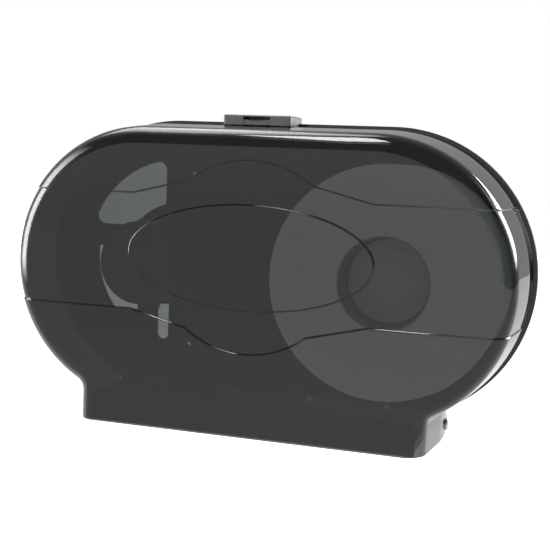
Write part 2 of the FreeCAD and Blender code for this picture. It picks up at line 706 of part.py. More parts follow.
def roll_core():
    """Cardboard core of the roll in use, on the right-hand hub."""
    return tube(ROLL_X, 0, CORE_RADIUS, CORE_RADIUS - CORE_WALL, ROLL_BACK + CORE_INSET,
                ROLL_BACK + ROLL_WIDTH - CORE_INSET)


def paper_roll():
    return tube(ROLL_X, 0, ROLL_RADIUS, CORE_RADIUS, ROLL_BACK, ROLL_BACK + ROLL_WIDTH)


def latch_housing():
    """Grey block over the rim's middle that guides the tab and the lock."""
    half = LATCH_HALF_WIDTH
    seat = block(-half, half, 0, LATCH_FRONT, RIM_TOP, LATCH_TOP)
    overhang = block(-half, half, RIM_DEPTH, LATCH_FRONT, LATCH_FLOOR, LATCH_TOP)
    body = joined([seat, overhang])
    edges = []
    for edge in body.Edges:
        box = edge.BoundBox
        on_top = box.ZMin > LATCH_TOP - TINY and box.YMin < -TINY
        upright_front = box.YMax < TINY - LATCH_FRONT and box.ZLength > TINY
        if on_top or upright_front:
            edges.append(edge)
    body = body.makeFillet(LATCH_ROUNDING, edges)
    tab_half = TAB_HALF_WIDTH + TAB_GAP
    cavity = block(-tab_half, tab_half, TAB_BACK - TAB_GAP, LATCH_FRONT + OVERRUN,
                   LATCH_FLOOR - OVERRUN, CAVITY_ROOF)
    lock_bore = upright(LOCK_X, LOCK_DEPTH, LOCK_RADIUS + LOCK_FIT, LATCH_FLOOR - OVERRUN,
                        LATCH_TOP + OVERRUN)
    lock_seat = upright(LOCK_X, LOCK_DEPTH, LOCK_HEAD_RADIUS + SEAT_GAP,
                        LATCH_TOP - LOCK_HEAD - SEAT_GAP, LATCH_TOP + OVERRUN)
    tools = [cavity, lock_bore, lock_seat]
    for x in (-LATCH_SCREW_X, LATCH_SCREW_X):
        tools.append(upright(x, RIM_DEPTH / 2, SCREW_RADIUS, RIM_TOP - OVERRUN,
                             LATCH_TOP + OVERRUN))
        tools.append(upright(x, RIM_DEPTH / 2, SCREW_HEAD_RADIUS, LATCH_TOP - SCREW_HEAD,
                             LATCH_TOP + OVERRUN))
    return without(body, tools)


def latch_tab():
    """Sprung thumb tab; its nose sits over the slot in the cover's top."""
    body = block(-TAB_HALF_WIDTH, TAB_HALF_WIDTH, TAB_BACK, LATCH_FRONT - TAB_GAP,
                 TAB_FLOOR, TAB_TOP)
    nose = block(-NOSE_HALF_WIDTH, NOSE_HALF_WIDTH, NOSE_BACK, NOSE_FRONT,
                 COVER_TOP + SEAT_GAP, TAB_TOP)
    tab = joined([body, nose])
    scoop_radius = TAB_HALF_WIDTH * 2
    scoop_z = TAB_TOP - TAB_SCOOP + scoop_radius
    scoop = Part.makeCylinder(scoop_radius, LATCH_FRONT - SPRING_DEPTH - SPRING_POCKET_RADIUS,
                              vec(0, -LATCH_FRONT, scoop_z), vec(0, 1, 0))
    tools = [scoop]
    for x in spring_centres():
        tools.append(upright(x, SPRING_DEPTH, SPRING_POCKET_RADIUS,
                             TAB_TOP - SPRING_POCKET, TAB_TOP + OVERRUN))
    return without(tab, tools)


def spring_centres():
    return [-SPRING_SPACING / 2, SPRING_SPACING / 2]


def latch_springs():
    """Two coil springs between the tab's pockets and the housing's roof."""
    foot = TAB_TOP - SPRING_POCKET + SPRING_WIRE
    top = CAVITY_ROOF - SPRING_WIRE
    springs = []
    for x in spring_centres():
        arcs = []
        for i in range(SPRING_TURNS * 4):
            ends = [spring_point(x, foot, top, (i + part) / 4) for part in (0, 0.5, 1)]
            arcs.append(Part.Arc(ends[0], ends[1], ends[2]).toShape())
        start = spring_point(x, foot, top, 0)
        along = vec(0, SPRING_RADIUS * math.tau * SPRING_TURNS, top - foot)
        section = Part.makeCircle(SPRING_WIRE / 2, start, along)
        springs.append(Part.Wire(arcs).makePipeShell([Part.Wire([section])], True, False))
    return Part.makeCompound(springs)


def spring_point(x, foot, top, turns):
    """Point on a spring's line after so many turns from its foot."""
    angle = math.tau * turns
    return vec(x + SPRING_RADIUS * math.cos(angle), SPRING_RADIUS * math.sin(angle) - SPRING_DEPTH,
               foot + (top - foot) * turns / SPRING_TURNS)


def latch_screws():
    """Screws down through the housing into the rim."""
    screws = []
    seat = LATCH_TOP - SCREW_HEAD
    for x in (-LATCH_SCREW_X, LATCH_SCREW_X):
        shank = upright(x, RIM_DEPTH / 2, SCREW_RADIUS, RIM_TOP - LATCH_SCREW_LENGTH, seat)
        head = upright(x, RIM_DEPTH / 2, SCREW_HEAD_RADIUS, seat, LATCH_TOP)
        half = SCREW_RECESS_WIDTH / 2
        reach = SCREW_HEAD_RADIUS * 2 / 3
        depth = RIM_DEPTH / 2
        across = block(x - reach, x + reach, depth - half, depth + half,
                       LATCH_TOP - SCREW_RECESS, LATCH_TOP + OVERRUN)
        along = block(x - half, x + half, depth - reach, depth + reach,
                      LATCH_TOP - SCREW_RECESS, LATCH_TOP + OVERRUN)
        screws.append(without(joined([shank, head]), [across, along]))
    return Part.makeCompound(screws)


def lock_core():
    """Key barrel with a slotted head and a neck that reaches into the cover."""
    head_foot = LATCH_TOP - LOCK_HEAD
    neck_foot = CAM_TOP - CAM - NUT - SEAT_GAP
    shapes = [upright(LOCK_X, LOCK_DEPTH, LOCK_HEAD_RADIUS, head_foot, LATCH_TOP)]
    shapes.append(upright(LOCK_X, LOCK_DEPTH, LOCK_RADIUS, TAB_FLOOR, LATCH_TOP))
    shapes.append(upright(LOCK_X, LOCK_DEPTH, LOCK_NECK_RADIUS, neck_foot, LATCH_TOP))
    half = KEY_SLOT_LENGTH / 2
    slot = block(LOCK_X - half, LOCK_X + half, LOCK_DEPTH - KEY_SLOT_WIDTH / 2,
                 LOCK_DEPTH + KEY_SLOT_WIDTH / 2, LATCH_TOP - KEY_SLOT, LATCH_TOP + OVERRUN)
    return without(joined(shapes), [slot])


def lock_cam():
    """Arm on the lock's neck; a quarter turn swings it in front of the catch."""
    end = LOCK_DEPTH + CAM_REACH - CAM_WIDTH / 2
    arm = block(LOCK_X - CAM_WIDTH / 2, LOCK_X + CAM_WIDTH / 2, LOCK_DEPTH, end,
                CAM_TOP - CAM, CAM_TOP)
    boss = upright(LOCK_X, LOCK_DEPTH, CAM_WIDTH / 2, CAM_TOP - CAM, CAM_TOP)
    tip = upright(LOCK_X, end, CAM_WIDTH / 2, CAM_TOP - CAM, CAM_TOP)
    neck = upright(LOCK_X, LOCK_DEPTH, LOCK_NECK_RADIUS, CAM_TOP - CAM - OVERRUN,
                   CAM_TOP + OVERRUN)
    return without(joined([arm, boss, tip]), [neck])


def cam_nut():
    """Hexagon nut that clamps the cam on the neck."""
    corner = NUT_FLATS / math.sqrt(3)
    top = CAM_TOP - CAM
    points = []
    for i in range(7):
        turn = math.tau * i / 6
        points.append(vec(LOCK_X + corner * math.cos(turn),
                          -LOCK_DEPTH + corner * math.sin(turn), top - NUT))
    prism = Part.Face(Part.makePolygon(points)).extrude(vec(0, 0, NUT))
    neck = upright(LOCK_X, LOCK_DEPTH, LOCK_NECK_RADIUS, top - NUT - OVERRUN, top + OVERRUN)
    return without(prism, [neck])


def mouth_frame():
    """Rails and end bars round the paper mouth, screwed to the back plate."""
    half = TRAY_HALF_WIDTH
    top = -TRAY_TOP_DROP
    foot = -TRAY_BOTTOM
    rear = RIM_DEPTH + TRAY_REAR_RAIL
    front = TRAY_FRONT - TRAY_FRONT_RAIL
    lip_top = SHUTTER - SHUTTER_BOTTOM + SHUTTER_GAP
    shapes = [block(-half, half, RIM_DEPTH, rear, foot, top + TRAY_UPSTAND)]
    shapes.append(block(-half, half, front, TRAY_FRONT, foot - FRONT_SKIRT, top + FRONT_GUARD))
    for depth0, depth1 in ((rear, rear + RAIL_LIP), (front - RAIL_LIP, front)):
        shapes.append(block(-half, half, depth0, depth1, foot, foot + RAIL_LIP))
        shapes.append(block(-half, half, depth0, depth1, lip_top, lip_top + RAIL_LIP))
    for side in (-1, 1):
        inner = side * WINDOW_HALF_WIDTH
        outer = side * half
        shapes.append(block(min(inner, outer), max(inner, outer), RIM_DEPTH, TRAY_FRONT,
                            foot, top))
    frame = joined(shapes).common(cover_form(COVER_WALL + COVER_GAP, 0))
    tools = [disc(x, z, SCREW_RADIUS, 0, rear + OVERRUN) for x, z in tray_screw_centres()]
    for side in (-1, 1):
        tools += [tear_rivet_shank(side, depth) for depth in tear_rivet_depths()]
    return without(frame, tools)


def tray_screws():
    depth = RIM_DEPTH + TRAY_REAR_RAIL
    length = depth - RIB_WALL
    centres = tray_screw_centres()
    return Part.makeCompound([cross_head_screw(x, z, depth, length) for x, z in centres])


def mouth_middle_depth():
    return (RIM_DEPTH + TRAY_REAR_RAIL + TRAY_FRONT - TRAY_FRONT_RAIL) / 2


def tear_rivet_depths():
    ends = (TEAR_BAR_BACK + TEAR_RIVET_END, TEAR_BAR_FRONT - TEAR_RIVET_END)
    return [ends[0], (ends[0] + ends[1]) / 2, ends[1]]


def tear_rivet_height():
    return (-TRAY_BOTTOM - TRAY_TOP_DROP) / 2


def tear_rivet_shank(side, depth):
    """Rivet shank through a tear bar and its end bar."""
    inner = WINDOW_HALF_WIDTH - TEAR_BAR
    outer = TRAY_HALF_WIDTH
    x0, x1 = (inner, outer) if side > 0 else (-outer, -inner)
    return crosswise(depth, tear_rivet_height(), RIVET_RADIUS, x0, x1)


def tear_bar(side):
    """Toothed steel strip on an end bar's inner face, teeth down."""
    count = max(3, round((TEAR_BAR_FRONT - TEAR_BAR_BACK) / TEAR_PITCH))
    pitch = (TEAR_BAR_FRONT - TEAR_BAR_BACK) / count
    x = side * (WINDOW_HALF_WIDTH - TEAR_BAR)
    root = -TRAY_BOTTOM
    points = [vec(x, -TEAR_BAR_BACK, -TRAY_TOP_DROP), vec(x, -TEAR_BAR_BACK, root)]
    for i in range(count):
        start = TEAR_BAR_BACK + i * pitch
        points.append(vec(x, -start - pitch / 2, root - TEAR_TOOTH))
        points.append(vec(x, -start - pitch, root))
    points.append(vec(x, -TEAR_BAR_FRONT, -TRAY_TOP_DROP))
    points.append(points[0])
    strip = Part.Face(Part.makePolygon(points)).extrude(vec(side * TEAR_BAR, 0, 0))
    return without(strip, [tear_rivet_shank(side, depth) for depth in tear_rivet_depths()])


def tear_bar_rivets():
    rivets = []
    for side in (-1, 1):
        inner = WINDOW_HALF_WIDTH - TEAR_BAR
        x0, x1 = (inner - RIVET_HEAD, inner) if side > 0 else (-inner, RIVET_HEAD - inner)
        for depth in tear_rivet_depths():
            head = crosswise(depth, tear_rivet_height(), RIVET_HEAD_RADIUS, x0, x1)
            rivets.append(joined([tear_rivet_shank(side, depth), head]))
    return Part.makeCompound(rivets)


def access_shutter():
    """Plate that closes one half of the mouth, with a finger grip below."""
    left = -WINDOW_HALF_WIDTH + TEAR_BAR + RIVET_HEAD + SHUTTER_END_GAP
    right = -SHUTTER_MIDDLE_GAP
    depth0 = RIM_DEPTH + TRAY_REAR_RAIL + SHUTTER_GAP
    depth1 = TRAY_FRONT - TRAY_FRONT_RAIL - SHUTTER_GAP
    plate = block(left, right, depth0, depth1, -SHUTTER_BOTTOM, SHUTTER - SHUTTER_BOTTOM)
    middle = (left + right) / 2
    half = SHUTTER_GRIP_LENGTH / 2
    centre = mouth_middle_depth()
    grips = []
    for step in (-1, 0, 1):
        depth = centre + step * SHUTTER_GRIP_WALL * 2
        grips.append(block(middle - half, middle + half, depth - SHUTTER_GRIP_WALL / 2,
                           depth + SHUTTER_GRIP_WALL / 2, -SHUTTER_BOTTOM - SHUTTER_GRIP,
                           -SHUTTER_BOTTOM))
    return joined([plate] + grips)


def all_pieces():
    pieces = {
        "back_plate": back_plate(),
        "cover_shell": cover_shell(),
        "cover_catch": at_latch(cover_catch()),
        "catch_rivets": at_latch(catch_rivets()),
        "hinge_pin_right": hinge_pin(),
        "hinge_pin_left": mirrored(hinge_pin()),
        "spindle_screws": spindle_screws(),
        "roll_core": roll_core(),
        "paper_roll": paper_roll(),
        "latch_housing": at_latch(latch_housing()),
        "latch_tab": at_latch(latch_tab()),
        "latch_springs": at_latch(latch_springs()),
        "latch_screws": at_latch(latch_screws()),
        "lock_core": at_latch(lock_core()),
        "lock_cam": at_latch(lock_cam()),
        "cam_nut": at_latch(cam_nut()),
        "mouth_frame": mouth_frame(),
        "mouth_frame_screws": tray_screws(),
        "tear_bar_rivets": tear_bar_rivets(),
        "access_shutter": access_shutter(),
    }
    for name, side in (("left", -1), ("right", 1)):
        pieces["spindle_post_" + name] = spindle_post(side)
        pieces["brake_washer_" + name] = brake_washer(side)
        pieces["core_hub_" + name] = core_hub(side)
        pieces["retaining_clip_" + name] = retaining_clip(side)
        pieces["hub_cap_" + name] = hub_cap(side)
        pieces["tear_bar_" + name] = tear_bar(side)
    return pieces


def main():
    os.makedirs("parts", exist_ok=True)
    for name, shape in all_pieces().items():
        shape.exportStep(os.path.join("parts", name + ".step"))
        print(name, len(shape.Solids), round(shape.Volume), shape.isValid())


main()
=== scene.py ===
"""Looks of a twin jumbo toilet roll dispenser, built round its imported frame."""
import logging
import math
from dataclasses import dataclass, field
from enum import Enum

import bmesh
import bpy
from bpy.types import Material, Node, NodeSocket, NodeTree, Object
from mathutils import Matrix, Vector
from mathutils.geometry import delaunay_2d_cdt


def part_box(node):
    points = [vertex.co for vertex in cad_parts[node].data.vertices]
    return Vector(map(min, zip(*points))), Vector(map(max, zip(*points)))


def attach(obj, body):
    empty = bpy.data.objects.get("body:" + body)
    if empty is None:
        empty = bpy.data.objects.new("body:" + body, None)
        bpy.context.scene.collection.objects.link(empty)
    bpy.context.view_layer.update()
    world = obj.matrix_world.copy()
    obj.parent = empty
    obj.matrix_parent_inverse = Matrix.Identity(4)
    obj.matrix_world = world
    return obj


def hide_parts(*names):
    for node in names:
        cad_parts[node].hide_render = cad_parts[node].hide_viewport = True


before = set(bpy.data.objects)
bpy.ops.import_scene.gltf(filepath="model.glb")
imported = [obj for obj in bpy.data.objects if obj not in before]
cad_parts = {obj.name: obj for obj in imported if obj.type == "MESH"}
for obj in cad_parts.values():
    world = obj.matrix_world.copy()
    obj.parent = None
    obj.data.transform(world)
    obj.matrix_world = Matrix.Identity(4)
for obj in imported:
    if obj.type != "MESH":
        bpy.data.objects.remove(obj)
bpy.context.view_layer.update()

log = logging.getLogger("dispenser")

Point2 = tuple[float, float]
Point3 = tuple[float, float, float]
Row = tuple[float, float, float]
Outward = tuple[Point2, Point2]
Value = float | str | tuple[float, ...] | Node | NodeSocket

MM = 0.001
# A Mix node repeats the names of its sockets, so they go by number: the share, two colours
# and what comes out, or two plain levels.
SHARE, MIX_A, MIX_B, MIXED = 0, 6, 7, 2
LEVEL_A, LEVEL_B = 2, 3
# Nearly all of a noise texture lies in this span.
NOISE_SPAN = {"From Min": 0.3, "From Max": 0.7}
# A wave texture repeats once in this length at a scale of 1.
WAVE_LENGTH = math.pi / 10
# The cover's moulded lines are marked under this name, for the shade its finish paints on them.
LINE_MARK = "line"
# Heights closer than this are the same, in millimetres.
SAME_WITHIN = 1e-6
# The triangulation keeps what lies inside an outline, and joins points closer than this.
INSIDE_ONLY, JOIN_WITHIN = 1, 1e-7
# A cutting rod's flats are too narrow to see on a bore.
ROD_SIDES = 72


def hex_to_linear(code: str) -> tuple[float, float, float, float]:
    """Turns an sRGB hex colour into linear light, with the numbers of the sRGB standard.

    Args:
        code: six hex digits after a hash mark.

    Returns:
        Red, green, blue and a full alpha.
    """
    channels = [int(code[i:i + 2], 16) / 255 for i in (1, 3, 5)]
    linear = [c / 12.92 if c <= 0.04045 else ((c + 0.055) / 1.055) ** 2.4 for c in channels]
    return linear[0], linear[1], linear[2], 1.0


def add_node(
    tree: NodeTree,
    kind: str,
    inputs: dict[str | int, Value] | None = None,
    **settings: object,
) -> Node:
    """Adds a node with its settings, and fills or links its sockets.

    Args:
        tree: the node tree that gets the node.
        kind: the node's type, without the words that all shader nodes begin with.
        inputs: socket names or numbers, each with a number, a hex colour, a node whose
            first output is linked, or a socket to link from.
        settings: the node's properties.

    Returns:
        The new node.
    """
    node = tree.nodes.new("ShaderNode" + kind)
    for name, setting in settings.items():
        setattr(node, name, setting)
    for name, value in (inputs or {}).items():
        if isinstance(value, Node):
            value = value.outputs[0]
        if isinstance(value, NodeSocket):
            tree.links.new(value, node.inputs[name])
        elif isinstance(value, str):
            node.inputs[name].default_value = hex_to_linear(value)
        else:
            node.inputs[name].default_value = value
    return node


def new_object(name: str, data: bpy.types.ID) -> Object:
    """Makes an object round its data and links it to the scene.

    Args:
        name: the object's name.
        data: its mesh, camera or lamp.

    Returns:
        The object.
    """
    made = bpy.data.objects.new(name, data)
    bpy.context.scene.collection.objects.link(made)
    return made


def clear_nodes(owner: Material | bpy.types.Light | bpy.types.World) -> NodeTree:
    """Turns on an owner's nodes and takes out those it starts with.

    Args:
        owner: a material, a lamp's data or a world.

    Returns:
        Its empty node tree.
    """
    owner.use_nodes = True
    owner.node_tree.nodes.clear()
    return owner.node_tree


def per_metre(size_mm: float) -> float:
    """Texture scale at which a pattern that repeats once a unit is size_mm wide."""
    return 1 / (size_mm * MM)


@dataclass(frozen=True)
class Surface:
    """A finish: its name says what the real surface is and how it was made."""

    name: str
    colour: str
    shade: str

    def build(self) -> Material:
        """Makes the node material.

        Returns:
            The material, under the finish's name.
        """
        material = bpy.data.materials.new(self.name)
        tree = clear_nodes(material)
        add_node(tree, "OutputMaterial", {"Surface": self.shader(tree)})
        return material

    def shader(self, tree: NodeTree) -> Node:
        """Builds the nodes up to the shader that the output takes."""
        raise NotImplementedError

    def uneven(
        self, tree: NodeTree, share: Node, noise: Node, roughness: Point2
    ) -> tuple[NodeSocket, Node]:
        """Mixes the two shades and spreads the roughness unevenly.

        Args:
            tree: the material's nodes.
            share: how much of the shade shows in the colour.
            noise: the pattern that the roughness follows.
            roughness: the least and the most of it.

        Returns:
            The colour and the roughness.
        """
        tone = add_node(
            tree, "Mix", {SHARE: share, MIX_A: self.colour, MIX_B: self.shade}, data_type="RGBA"
        )
        low, high = roughness
        rough = add_node(
            tree, "MapRange", {"Value": noise, **NOISE_SPAN, "To Min": low, "To Max": high}
        )
        return tone.outputs[MIXED], rough

    def body(
        self, tree: NodeTree, share: Node, noise: Node, roughness: Point2, inputs: dict[str, Value]
    ) -> Node:
        """Shades with the uneven colour and roughness.

        Args:
            tree: the material's nodes.
            share: how much of the shade shows in the colour.
            noise: the pattern that the roughness follows.
            roughness: the least and the most of it.
            inputs: the shader's other sockets.

        Returns:
            The shader.
        """
        tone, rough = self.uneven(tree, share, noise, roughness)
        sockets = {"Base Color": tone, "Roughness": rough, **inputs}
        return add_node(tree, "BsdfPrincipled", sockets)


@dataclass(frozen=True)
class MouldedPlastic(Surface):
    """Injection-moulded ABS. The tool's polish or spark texture sets its gloss, and flow and
    handling make the roughness drift a little, so highlights break up softly."""

    roughness: float
    texture_mm: float
    texture_depth_mm: float
    drift_mm: float = 38.0
    rough_span: Point2 = (0.85, 1.2)
    edge_mm: float = 0.45
    ior: float = 1.54

    def shader(self, tree: NodeTree) -> Node:
        """Mixes two close shades and roughens them unevenly.

        Args:
            tree: the material's nodes.

        Returns:
            The shader for the output.
        """
        place = add_node(tree, "TexCoord").outputs["Object"]
        drift = add_node(
            tree, "TexNoise", {"Vector": place, "Scale": per_metre(self.drift_mm), "Detail": 4.0}
        )
        spark = add_node(
            tree, "TexNoise", {"Vector": place, "Scale": per_metre(self.texture_mm), "Detail": 2.0}
        )
        edge = add_node(tree, "Bevel", {"Radius": self.edge_mm * MM}, samples=6)
        depth = self.texture_depth_mm * MM
        relief = add_node(
            tree, "Bump", {"Height": spark, "Distance": depth, "Normal": edge, "Strength": 0.5}
        )
        low, high = (self.roughness * share for share in self.rough_span)
        return self.body(tree, drift, drift, (low, high), {"IOR": self.ior, "Normal": relief})


@dataclass(frozen=True)
class SmokedPolycarbonate(Surface):
    """Polished smoked polycarbonate, clear but dark. Both faces of a wall mirror about as their
    IOR says, each takes half of the wall's tint, and a slanting look through it is darker. The
    moulded lines bend light aside, and painted shade on their slopes stands in for that: the
    see-through tint is darkened there. Lamps reach in more freely than the eye looks out, for
    the light that the shell scatters inwards.
    """

    lamp_tint: str
    head_on_mirror: float = 0.042
    mirror_power: float = 5.0
    gloss: float = 0.03
    rough_span: Point2 = (0.8, 1.3)
    ior: float = 1.55
    drift_mm: float = 60.0
    line_painted_shade: float = 0.85

    def shader(self, tree: NodeTree) -> Node:
        """Mixes tinted see-through and mirror by the angle, and lets lamps through.

        Args:
            tree: the material's nodes.

        Returns:
            The shader for the output.
        """
        place = add_node(tree, "TexCoord").outputs["Object"]
        drift = add_node(tree, "TexNoise", {"Vector": place, "Scale": per_metre(self.drift_mm)})
        low, high = (self.gloss * share for share in self.rough_span)
        smoke, rough = self.uneven(tree, drift, drift, (low, high))
        facing = add_node(tree, "LayerWeight", {"Blend": 0.5}).outputs["Facing"]
        slope = add_node(tree, "Math", {0: facing, 1: self.mirror_power}, operation="POWER")
        mirror = add_node(
            tree,
            "Math",
            {0: slope, 1: 1 - self.head_on_mirror, 2: self.head_on_mirror},
            operation="MULTIPLY_ADD",
        )
        head_on = add_node(tree, "Math", {0: 1.0, 1: facing}, operation="SUBTRACT")
        squared = add_node(tree, "Math", {0: head_on, 1: head_on}, operation="MULTIPLY")
        bent = 1 / self.ior**2
        inside = add_node(
            tree, "Math", {0: squared, 1: bent, 2: 1 - bent}, operation="MULTIPLY_ADD"
        )
        longer = add_node(tree, "Math", {0: inside}, operation="INVERSE_SQRT")
        parts = add_node(tree, "SeparateColor", {0: smoke}).outputs
        powers = [
            add_node(tree, "Math", {0: part, 1: longer}, operation="POWER") for part in parts
        ]
        tint = add_node(tree, "CombineColor", dict(enumerate(powers)))
        # Painted shade: the see-through tint darkens on the marked slopes of the moulded lines.
        line = add_node(tree, "Attribute", attribute_name=LINE_MARK).outputs["Fac"]
        dark = add_node(tree, "Math", {0: line, 1: self.line_painted_shade}, operation="MULTIPLY")
        lined = add_node(
            tree, "Mix", {SHARE: dark, MIX_A: tint, MIX_B: "#000000"}, data_type="RGBA"
        )
        clear = add_node(tree, "BsdfTransparent", {"Color": lined.outputs[MIXED]})
        gloss = add_node(tree, "BsdfAnisotropic", {"Color": "#ffffff", "Roughness": rough})
        seen = add_node(tree, "MixShader", {0: mirror, 1: clear, 2: gloss})
        lit = add_node(tree, "BsdfTransparent", {"Color": self.lamp_tint})
        ray = add_node(tree, "LightPath").outputs
        lighting = add_node(
            tree, "Math", {0: ray["Is Shadow Ray"], 1: ray["Is Diffuse Ray"]}, operation="MAXIMUM"
        )
        return add_node(tree, "MixShader", {0: lighting, 1: seen, 2: lit})


@dataclass(frozen=True)
class WorkedMetal(Surface):
    """Rolled, drawn or plated metal. Its fine scratches run one way and stretch highlights."""

    roughness: float
    rough_span: Point2 = (0.8, 1.3)
    scratch_mm: float = 0.35
    scratch_depth_mm: float = 0.01
    stretch: float = 14.0

    def shader(self, tree: NodeTree) -> Node:
        """Draws long thin scratches, about three times their real width so that they show.

        Args:
            tree: the material's nodes.

        Returns:
            The shader for the output.
        """
        place = add_node(tree, "TexCoord").outputs["Object"]
        across = per_metre(self.scratch_mm)
        drawn = add_node(
            tree, "Mapping", {"Vector": place, "Scale": (across, across / self.stretch, across)}
        )
        scratch = add_node(tree, "TexNoise", {"Vector": drawn, "Scale": 1.0, "Detail": 4.0})
        depth = self.scratch_depth_mm * MM
        relief = add_node(tree, "Bump", {"Height": scratch, "Distance": depth, "Strength": 0.4})
        low, high = (self.roughness * share for share in self.rough_span)
        return self.body(tree, scratch, scratch, (low, high), {"Metallic": 1.0, "Normal": relief})


@dataclass(frozen=True)
class TissuePaper(Surface):
    """Soft two-ply embossed tissue. Its turns show as fine rings on the roll's ends, drawn a few
    real turns apart so that they show, and its dimples as a soft mottle."""

    centre: Point3
    turn_mm: float = 1.3
    dimple_mm: float = 3.2
    fibre_mm: float = 0.7
    relief_mm: float = 0.12
    roughness: Point2 = (0.86, 0.97)

    def shader(self, tree: NodeTree) -> Node:
        """Rings about the roll's own axis over dimples and fibres.

        Args:
            tree: the material's nodes.

        Returns:
            The shader for the output.
        """
        place = add_node(tree, "TexCoord").outputs["Object"]
        shift = tuple(-c for c in self.centre)
        about = add_node(
            tree, "Mapping", {"Vector": place, "Location": shift, "Scale": (1.0, 0.0, 1.0)}
        )
        rings = add_node(
            tree,
            "TexWave",
            {
                "Vector": about,
                "Scale": WAVE_LENGTH * per_metre(self.turn_mm),
                "Distortion": 1.6,
                "Detail": 2.0,
            },
            wave_type="RINGS",
            rings_direction="SPHERICAL",
        )
        dimples = add_node(
            tree,
            "TexVoronoi",
            {"Vector": place, "Scale": per_metre(self.dimple_mm)},
            feature="SMOOTH_F1",
        )
        fibres = add_node(
            tree, "TexNoise", {"Vector": place, "Scale": per_metre(self.fibre_mm), "Detail": 5.0}
        )
        wound = add_node(tree, "Math", {0: rings, 1: fibres}, operation="MULTIPLY")
        height = add_node(tree, "Math", {0: wound, 1: dimples}, operation="ADD")
        share = add_node(tree, "MapRange", {"Value": wound, "From Min": 0.6, "From Max": 0.1})
        relief = add_node(
            tree, "Bump", {"Height": height, "Distance": self.relief_mm * MM, "Strength": 0.6}
        )
        inputs = {"Sheen Weight": 0.15, "Normal": relief}
        return self.body(tree, share, fibres, self.roughness, inputs)


@dataclass(frozen=True)
class FibreBoard(Surface):
    """Wound cardboard or pressed felt: matt and speckled with fibres."""

    fibre_mm: float
    relief_mm: float
    roughness: Point2 = (0.82, 0.96)

    def shader(self, tree: NodeTree) -> Node:
        """Speckles two shades and lifts the fibres.

        Args:
            tree: the material's nodes.

        Returns:
            The shader for the output.
        """
        place = add_node(tree, "TexCoord").outputs["Object"]
        fibres = add_node(
            tree, "TexNoise", {"Vector": place, "Scale": per_metre(self.fibre_mm), "Detail": 6.0}
        )
        share = add_node(
            tree, "MapRange", {"Value": fibres, **NOISE_SPAN, "To Min": 1.0, "To Max": 0.0}
        )
        relief = add_node(tree, "Bump", {"Height": fibres, "Distance": self.relief_mm * MM})
        inputs = {"Sheen Weight": 0.1, "Normal": relief}
        return self.body(tree, share, fibres, self.roughness, inputs)


class Finish(Enum):
    """The finishes of the carried pieces."""

    # A mirror-polished mould: deep black with crisp lamps in it.
    BLACK_ABS = MouldedPlastic("polished black ABS", "#0c0c0d", "#121213", 0.14, 6.0, 0.01)
    # A fine spark-eroded mould: a soft sheen that spreads along the block's edges.
    GREY_ABS = MouldedPlastic("satin grey ABS", "#56585c", "#5e6064", 0.40, 0.9, 0.05)
    # The same texture in near-black.
    HUB_ABS = MouldedPlastic("satin near-black ABS", "#2b2b2d", "#333335", 0.30, 1.1, 0.04)
    # The right hub's cap is light grey, unlike the near-black left one, and the smoked shell dims
    # it to a shade under the roll.
    CAP_ABS = MouldedPlastic("satin light grey ABS", "#dadade", "#e2e2e6", 0.36, 1.1, 0.04)
    # Barrel zinc plating: dull silver with a faint blue cast.
    ZINC_STEEL = WorkedMetal("zinc-plated steel", "#b4b6ba", "#9b9da2", 0.3)
    # Hard-drawn wire, darker and smoother than the plating.
    SPRING_STEEL = WorkedMetal("drawn spring steel", "#8d8f94", "#74767b", 0.28)
    # Linished strip: bright, with long fine lines.
    STAINLESS = WorkedMetal("brushed stainless steel", "#c3c4c6", "#a7a8ab", 0.26)
    # Decorative chrome over a smooth casting: nearly a mirror.
    CHROMED = WorkedMetal("chromed zinc casting", "#d6d8db", "#c6c8cc", 0.12)
    # Cold-headed rivets, left plain.
    ALUMINIUM = WorkedMetal("headed aluminium", "#c8c9cb", "#b2b3b6", 0.36)
    # Spirally wound grey-brown board.
    CARDBOARD = FibreBoard("wound cardboard", "#8f7d66", "#76654f", 1.4, 0.06)
    # Needled wool felt, pressed flat.
    FELT = FibreBoard("pressed grey felt", "#5a5a5c", "#3f3f42", 0.8, 0.2)


FINISHED_NODES: dict[Finish, tuple[str, ...]] = {
    Finish.BLACK_ABS: ("back_plate", "mouth_frame"),
    Finish.GREY_ABS: ("latch_housing", "latch_tab"),
    Finish.HUB_ABS: (
        "spindle_post_left",
        "spindle_post_right",
        "core_hub_left",
        "core_hub_right",
        "hub_cap_left",
        "access_shutter",
    ),
    Finish.CAP_ABS: ("hub_cap_right",),
    Finish.FELT: ("brake_washer_left", "brake_washer_right"),
    Finish.ZINC_STEEL: (
        "hinge_pin_left",
        "hinge_pin_right",
        "cover_catch",
        "latch_screws",
        "mouth_frame_screws",
        "spindle_screws",
        "lock_cam",
        "cam_nut",
    ),
    Finish.SPRING_STEEL: ("latch_springs", "retaining_clip_left", "retaining_clip_right"),
    Finish.STAINLESS: ("tear_bar_left", "tear_bar_right"),
    Finish.CHROMED: ("lock_core",),
    Finish.ALUMINIUM: ("catch_rivets", "tear_bar_rivets"),
    Finish.CARDBOARD: ("roll_core",),
}


